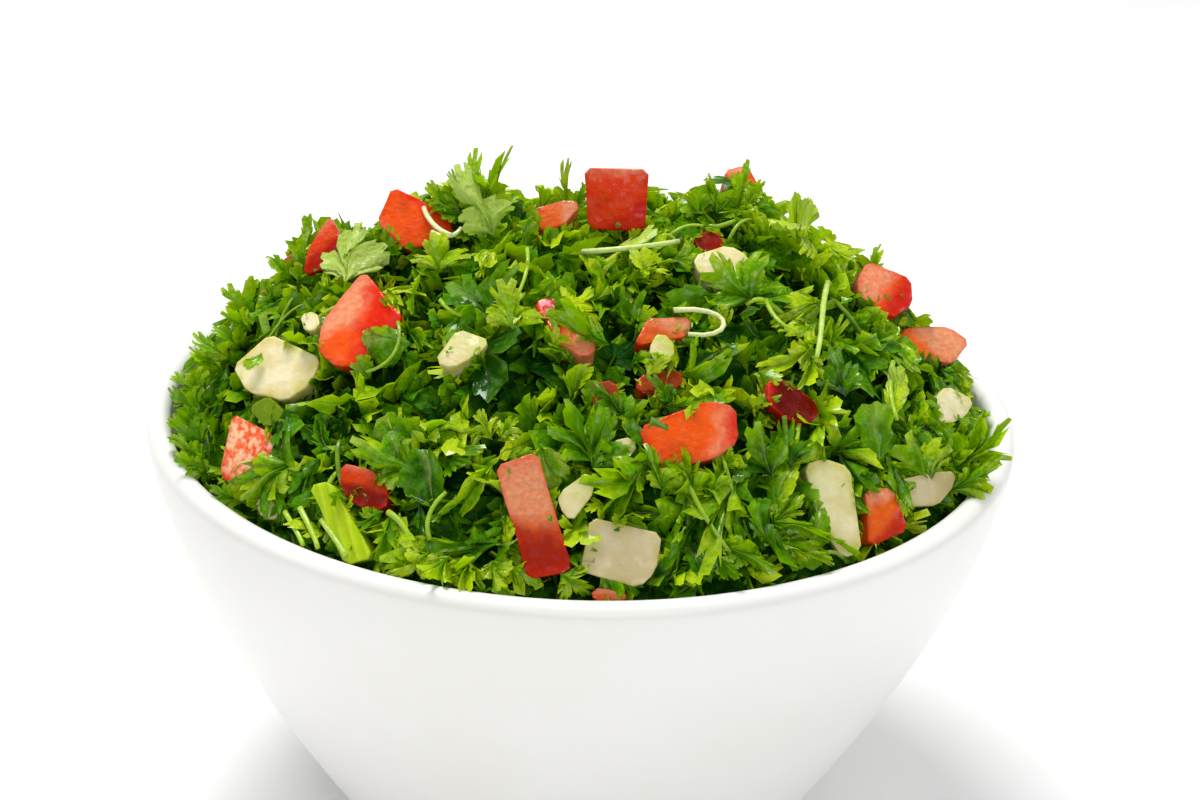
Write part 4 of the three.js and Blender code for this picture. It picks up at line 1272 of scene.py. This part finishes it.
def strip_blades(draw, count, rows, size, width, tooth, ruffle):
    """Strips of `count` blades along a midrib. Half the width swells and tapers along the length, dips
    between three lobes, and every second row is drawn in, so that the teeth point forward. The two halves
    are folded up from the midrib and ruffle apart."""

    def each(low_high):
        return draw.uniform(*low_high, (count, 1, 1))

    along = np.linspace(0, 1, rows)[None, :, None]
    across = np.linspace(-1, 1, 5)[None, None, :]
    length = each(size)
    half = length * each(width)
    swell = np.sin(np.pi * (0.1 + 0.86 * along)) ** 0.8
    dips = 1 - 0.28 * np.cos(2 * np.pi * (3 * along + each((0, 1)))) ** 2
    teeth = 1 - draw.uniform(*tooth, (count, rows, 1)) * (np.arange(rows) % 2)[:, None] * across**4
    aside = half * across * swell * dips * teeth
    wave = 2 * np.pi * each((1.2, 2.6)) * along + np.sign(across) * 1.3 + each((0, 6.3))
    height = half * each(ruffle) * across**2 * np.sin(wave) + np.abs(aside) * each((-0.2, 0.9))
    forward = length * along + 0.35 * np.abs(aside)
    edge = np.broadcast_to(np.abs(across), height.shape)
    return np.stack([forward, aside, height], -1), 1 - edge, edge


def rolled(points, axis, curl):
    """Blades rolled up about the axis square to `axis` (0 along, 1 across), by `curl` radians for each
    millimetre: distance along becomes an angle round a cylinder."""
    curl = np.where(np.abs(curl) < 1e-3, 1e-3, curl)[:, None, None]
    angle = points[..., axis] * curl
    arm = 1 / curl - points[..., 2]
    points = points.copy()
    points[..., axis] = arm * np.sin(angle)
    points[..., 2] = 1 / curl - arm * np.cos(angle)
    return points


def strewn(draw, count, inner, outer):
    """Spots over the dome as a sunflower spiral, spaced by the dome's own area between two shares of its
    radius, each knocked a little aside."""
    reach = np.linspace(0, 1, 400)
    slope = DOME_HEIGHT * DOME_POWER * reach ** (DOME_POWER - 1) / HEAP_RADIUS
    area = np.cumsum(reach * np.hypot(1, slope))
    low, high = np.interp([inner, outer], reach, area)
    order = (np.arange(count) + draw.uniform(0.2, 0.8, count)) / count
    radius = HEAP_RADIUS * np.interp(low + (high - low) * order, area, reach)
    angle = GOLDEN_TURN * np.arange(count) + draw.normal(0, 0.12, count)
    return polar(radius, angle)


def stood(points, spot, depth, rise, roll, turn):
    """Blades set in the heap. Each base sinks `depth` under the outline at its spot, its length points along
    the slope at its turn and lifts by `rise` degrees off it, and it is rolled about its length."""
    foot_x, foot_y = spot.T
    normal = heap_normal(foot_x, foot_y)
    base = np.stack([foot_x, foot_y, heap_top(foot_x, foot_y)], -1) - normal * depth[:, None]
    tangent = square_to(polar(1, turn, 0.0), normal)
    rise = np.radians(rise)[:, None]
    heading = tangent * np.cos(rise) + normal * np.sin(rise)
    return laid(points, base, base + heading, normal * np.cos(rise) - tangent * np.sin(rise), roll)


def tucked(points):
    """Points kept with the heap: what stands over TIP_LIMIT above the outline sags to TIP_KEPT of that, and
    to nothing at the middle of a spot of CALM. Below the rim the blades stay inside the wall, and above it
    they may lean out over the lip, further the higher they are."""
    points = points.copy()
    over = over_heap(points) - TIP_LIMIT
    calm = 0
    for spot in CALM:
        calm = np.maximum(calm, bump_at(points[..., 0], points[..., 1], *spot))
    points[..., 2] -= np.maximum(0, over) * (1 - TIP_KEPT * (1 - calm))
    radius = np.hypot(points[..., 0], points[..., 1])
    z = points[..., 2]
    lean = np.minimum(LEAN_OUT * np.maximum(0, z - BOWL_HEIGHT - LIP_CLEARANCE), LEAN_LIMIT)
    limit = inner_radius(np.minimum(z, BOWL_HEIGHT)) - WALL_CLEARANCE + lean
    points[..., :2] *= np.minimum(1, limit / np.maximum(radius, 1e-6))[..., None]
    return points


def laid_discs(base, tip, face):
    """A round spot at the middle of each laid leaf, in the same form as a cut piece, for `hides_cut`."""
    heading = unit(tip - base)
    face = square_to(face, heading)
    axes = np.stack([heading, np.cross(face, heading), face], 1)
    size = np.linalg.norm(tip - base, axis=-1)
    return [
        {
            "at": 0.4 * base[k] + 0.6 * tip[k],
            "axes": axes[k],
            "angle": np.zeros(1),
            "radius": np.full(1, LAID_SHARE * size[k]),
            "bare": 1.0,
        }
        for k in range(len(base))
    ]


bare_spots = all_cuts + laid_discs(top_base, top_tip, top_face)


def blade_piece(name, points, rib, edge, tone):
    """The mesh of those blades of a kind that hide nothing laid on top."""
    points = tucked(points)
    kept = ~hides_cut(points, HIDING_SHARE, bare_spots)
    return blade_mesh(name, points[kept], rib[kept], edge[kept], tone[kept])


def sprays(draw, count, members, grids, reach, splay):
    """Sprigs of `members` fans on one stem: the first at the tip, the others in pairs at both sides further
    back, each turned out by `splay` degrees and nodding a little its own way."""
    points, rib, edge = grids
    order = np.arange(members)
    side = np.where(order == 0, 0, np.where(order % 2 == 1, 1, -1))
    back = (order + 1) // 2 / max(1, members // 2)
    shape = (count, members)
    turn = np.radians(side * draw.uniform(*splay, shape) + draw.normal(0, 8, shape))
    pitch = np.radians(draw.normal(-4, 16, shape))
    lean = np.radians(draw.normal(0, 24, shape))
    along = draw.uniform(*reach, (count, 1)) * (1 - back * draw.uniform(0.75, 1.0, shape))
    heading = np.stack([np.cos(turn) * np.cos(pitch), np.sin(turn) * np.cos(pitch), np.sin(pitch)], -1)
    flat = unit(np.cross(np.broadcast_to([0, 0, 1.0], heading.shape), heading))
    face = np.cross(heading, flat)
    across = flat * np.cos(lean)[..., None] + face * np.sin(lean)[..., None]
    frames = np.stack([heading, across, np.cross(heading, across)], 2).reshape(-1, 3, 3)
    moved = np.einsum("nrck,nkd->nrcd", points, frames)
    moved[..., 0] += along.reshape(-1, 1, 1)
    return moved, rib, edge


def patchy(draw, spot, middle, spread):
    """How light each sprig is: a slow patchiness over the heap, painted light that makes it lighter towards
    its crown, where the lamp above falls, and a scatter from sprig to sprig."""
    ground = np.concatenate([spot, np.zeros((len(spot), 1))], -1)
    crown = np.clip(1 - np.hypot(*spot.T) / CROWN_REACH, 0, 1)
    light = middle + CROWN_PAINTED_LIGHT * crown + PATCH_LIGHT * rumple(ground, PATCH_SIZE, 71)
    return light + draw.normal(0, spread, len(spot))


def leaf_kind(name, seed, count, members, layers, shapes, curl=(0.06, 0.09)):
    """Makes and lays one kind, in `count` groups of `members` blades, RIM_SHARE of them close inside the
    lip. layers are (share of the groups, least and most depth of the tip under the outline, least and most
    rise off the slope in degrees, tone). shapes makes the blades. curl is how far they roll up, along and
    across."""
    draw = np.random.default_rng(seed)
    points, rib, edge = shapes(draw, count * members)
    if members > 1:
        points, rib, edge = sprays(draw, count, members, (points, rib, edge), reach=(4, 9), splay=(30, 75))

    def each(values):
        return np.repeat(values, members, axis=0)

    bow = draw.normal(0, 1, (2, count)) * np.array(curl)[:, None]
    points = rolled(rolled(points, 0, each(bow[0])), 1, each(bow[1]))
    at_rim = round(count * RIM_SHARE)
    spot = np.concatenate([strewn(draw, count - at_rim, 0.0, 1.0), strewn(draw, at_rim, 0.88, 1.0)])
    layer = draw.choice(len(layers), count, p=[row[0] for row in layers])
    table = np.array([row[1:] for row in layers])[layer]
    tip, rise = (table[:, k] + (table[:, k + 1] - table[:, k]) * draw.uniform(0, 1, count) for k in (0, 2))
    ground = np.concatenate([spot, np.zeros((count, 1))], -1)
    inland = 1 - (np.hypot(*spot.T) / HEAP_RADIUS) ** 8
    tip = tip + HOLLOWS * np.clip(0.15 - 0.8 * rumple(ground, HOLLOW_SIZE, 72), 0, 1) * inland
    length = points[..., 0].reshape(count, -1).max(-1)
    depth = tip + length * np.sin(np.radians(rise))
    turn = draw.uniform(0, 2 * np.pi, count)
    roll = draw.normal(0, 34, count)
    tone = patchy(draw, spot, table[:, 4], 0.17)
    tone = each(tone) + draw.normal(0, 0.06, count * members)
    points = stood(points, each(spot), each(depth), each(rise), each(roll), each(turn))
    shown(blade_piece(name, points, rib, edge, tone), green, "parsley")


# Each layer's last number is its tone, lower for the deeper layers: painted shade.
OVER = (0.0, 2.8, 4, 48, 0.60)
UNDER = (2.5, 6.0, -10, 40, 0.38)
BELOW = (4.5, 8.5, -20, 25, 0.28)
leaf_kind(
    "parsley_sprigs", seed=21, count=220, members=5, layers=[(0.72, *OVER), (0.28, *UNDER)],
    shapes=lambda draw, count: lobed_blades(
        draw, count, teeth=9, lobes=(1, 3), rows=(0.1, 0.45, 0.75, 1.0), size=(5.0, 9.5), sweep=(60, 150),
        notch=(0.5, 0.88), tooth=(0.12, 0.42), bend=(-0.6, 0.4), keel=(-0.9, 0.9), crimp=(0.0, 0.12),
        centre=0.34, width=draw.uniform(0.5, 1.0, (count, 1, 1)),
    ),
)
leaf_kind(
    "parsley_leaves", seed=25, count=430, members=1, layers=[(0.65, *OVER), (0.35, *UNDER)],
    shapes=lambda draw, count: lobed_blades(
        draw, count, teeth=15, lobes=(3, 5), rows=(0.06, 0.3, 0.58, 0.8, 1.0), size=(7.5, 13),
        sweep=(130, 165), notch=(0.6, 0.9), tooth=(0.1, 0.42), bend=(-0.8, 0.5), keel=(-0.8, 0.8),
        crimp=(0.0, 0.12), centre=0.42, width=draw.uniform(0.55, 1.05, (count, 1, 1)),
    ),
)
leaf_kind(
    "parsley_strips", seed=22, count=500, members=1, layers=[(0.6, *OVER), (0.4, *UNDER)],
    shapes=lambda draw, count: strip_blades(
        draw, count, rows=15, size=(7, 15), width=(0.15, 0.32), tooth=(0.2, 0.5), ruffle=(0.1, 0.5)
    ),
)
leaf_kind(
    "parsley_frills", seed=23, count=280, members=2, layers=[(0.7, *OVER), (0.3, *UNDER)], curl=(0.12, 0.12),
    shapes=lambda draw, count: lobed_blades(
        draw, count, teeth=12, lobes=(4,), rows=(0.15, 0.5, 0.8, 1.0), size=(4.5, 7.5), sweep=(70, 115),
        notch=(0.2, 0.45), tooth=(0.1, 0.3), bend=(-0.3, 0.3), keel=(-0.5, 0.5), crimp=(0.10, 0.24),
    ),
)
leaf_kind(
    "parsley_underleaves", seed=24, count=1400, members=1, layers=[(0.35, *UNDER), (0.65, *BELOW)],
    shapes=lambda draw, count: lobed_blades(
        draw, count, teeth=9, lobes=(3,), rows=(0.1, 0.6, 1.0), size=(8, 13), sweep=(110, 160),
        notch=(0.3, 0.55), tooth=(0.1, 0.3), bend=(-0.3, 0.3), keel=(-0.3, 0.3), crimp=(0, 0.05), centre=0.4,
    ),
)


def rim_leaves(draw, count):
    """Leaves that lie out to the wall all round, just under the lip. Each starts some millimetres inland and
    its tip leans against the glaze."""
    around = 2 * np.pi * (np.arange(count) + draw.uniform(0, 1, count)) / count
    ends = []
    for near, far, low, high, turn in RIM_ENDS:
        angle = around + draw.normal(0, turn, count)
        x, y = polar(draw.uniform(near, far, count), angle).T
        ends.append(np.stack([x, y, heap_top(x, y) + draw.uniform(low, high, count)], -1))
    base, tip = ends
    points, rib, edge = lobed_blades(
        draw, count, teeth=9, lobes=(3,), rows=(0.1, 0.4, 0.7, 1.0), size=(0.85, 1.1), sweep=(110, 165),
        notch=(0.7, 0.95), tooth=(0.25, 0.6), bend=(-0.5, 0.3), keel=(-0.8, 0.8), crimp=(0.0, 0.1),
        centre=0.4, width=0.66,
    )
    points = laid(points, base, tip, heap_normal(base[:, 0], base[:, 1]), draw.normal(0, 25, count))
    return points, rib, edge, draw.normal(0.4, 0.12, count)


rim = rim_leaves(np.random.default_rng(26), RIM_LEAVES)
shown(blade_piece("parsley_at_the_rim", *rim), green, "parsley")

# ------------------------------------------------------------------------------------ the table and the light
# A plain white table under a pale soft sky, lit by one broad soft lamp overhead and by fainter ones at the
# left, the right and the front, and the eater's view from in front and a little above.

TABLE_SHADED = (247, 247, 247)
TABLE_WHITE = (249, 249, 249)
TABLE_REACH = 4000
SKY_STRENGTH = 0.48
LAMPS = [
    # name, place, what it aims at, width, watts, colour
    ("lamp_above", (-150, 240, 860), (0, 0, 80), 420, 6.8, (1.0, 1.0, 0.99)),
    ("lamp_left", (-850, -150, 500), (0, 0, 60), 500, 0.5, (1.0, 0.97, 0.94)),
    ("lamp_right", (850, 100, 420), (0, 0, 40), 500, 1.0, (0.95, 0.97, 1.0)),
    ("lamp_front", (180, -900, 450), (0, 0, 50), 600, 2.3, (0.98, 0.99, 1.0)),
]


def table_finish():
    """White laminate with the faintest clouding."""
    paint = Paint("table")
    colour = paint.mix(paint.noise(60, 2).ramp(0.3, 0.7), TABLE_SHADED, TABLE_WHITE)
    return paint.finish(paint.skin(Base_Color=colour, Roughness=0.6))


corner = np.linspace(-TABLE_REACH, TABLE_REACH, 9)
flat = np.stack([*np.meshgrid(corner, corner), np.zeros((9, 9))], -1)
floor = mesh_piece("table", flat[None], False)
floor.data.materials.append(table_finish())

world = bpy.data.worlds.new("sky")
world.use_nodes = True
sky = world.node_tree.nodes["Background"]
sky.inputs["Color"].default_value = (1, 1, 1, 1)
sky.inputs["Strength"].default_value = SKY_STRENGTH
bpy.context.scene.world = world
bpy.context.scene.view_settings.view_transform = "Standard"


def looking(name, data, right, up, back, place):
    """A lamp or camera at a place, looking against `back`."""
    made = bpy.data.objects.new(name, data)
    pose = np.eye(4)
    pose[:3, :3] = np.stack([right, up, back], 1)
    pose[:3, 3] = np.array(place) * MM
    made.matrix_world = Matrix(pose)
    bpy.context.scene.collection.objects.link(made)
    return made


for name, place, aim, size, watts, colour in LAMPS:
    light = bpy.data.lights.new(name, "AREA")
    light.shape = "SQUARE"
    light.size = size * MM
    light.energy = watts
    light.color = colour
    back = unit(np.subtract(place, aim).astype(float))
    right = unit(np.cross([0, 0, 1], back))
    looking(name, light, right, np.cross(back, right), back, place)

eater = bpy.data.cameras.new("eater")
eater.lens = LENS
eater.sensor_width = SENSOR
eater.clip_start = 0.01
bpy.context.scene.camera = looking("eater", eater, *eye_axes(), EYE)
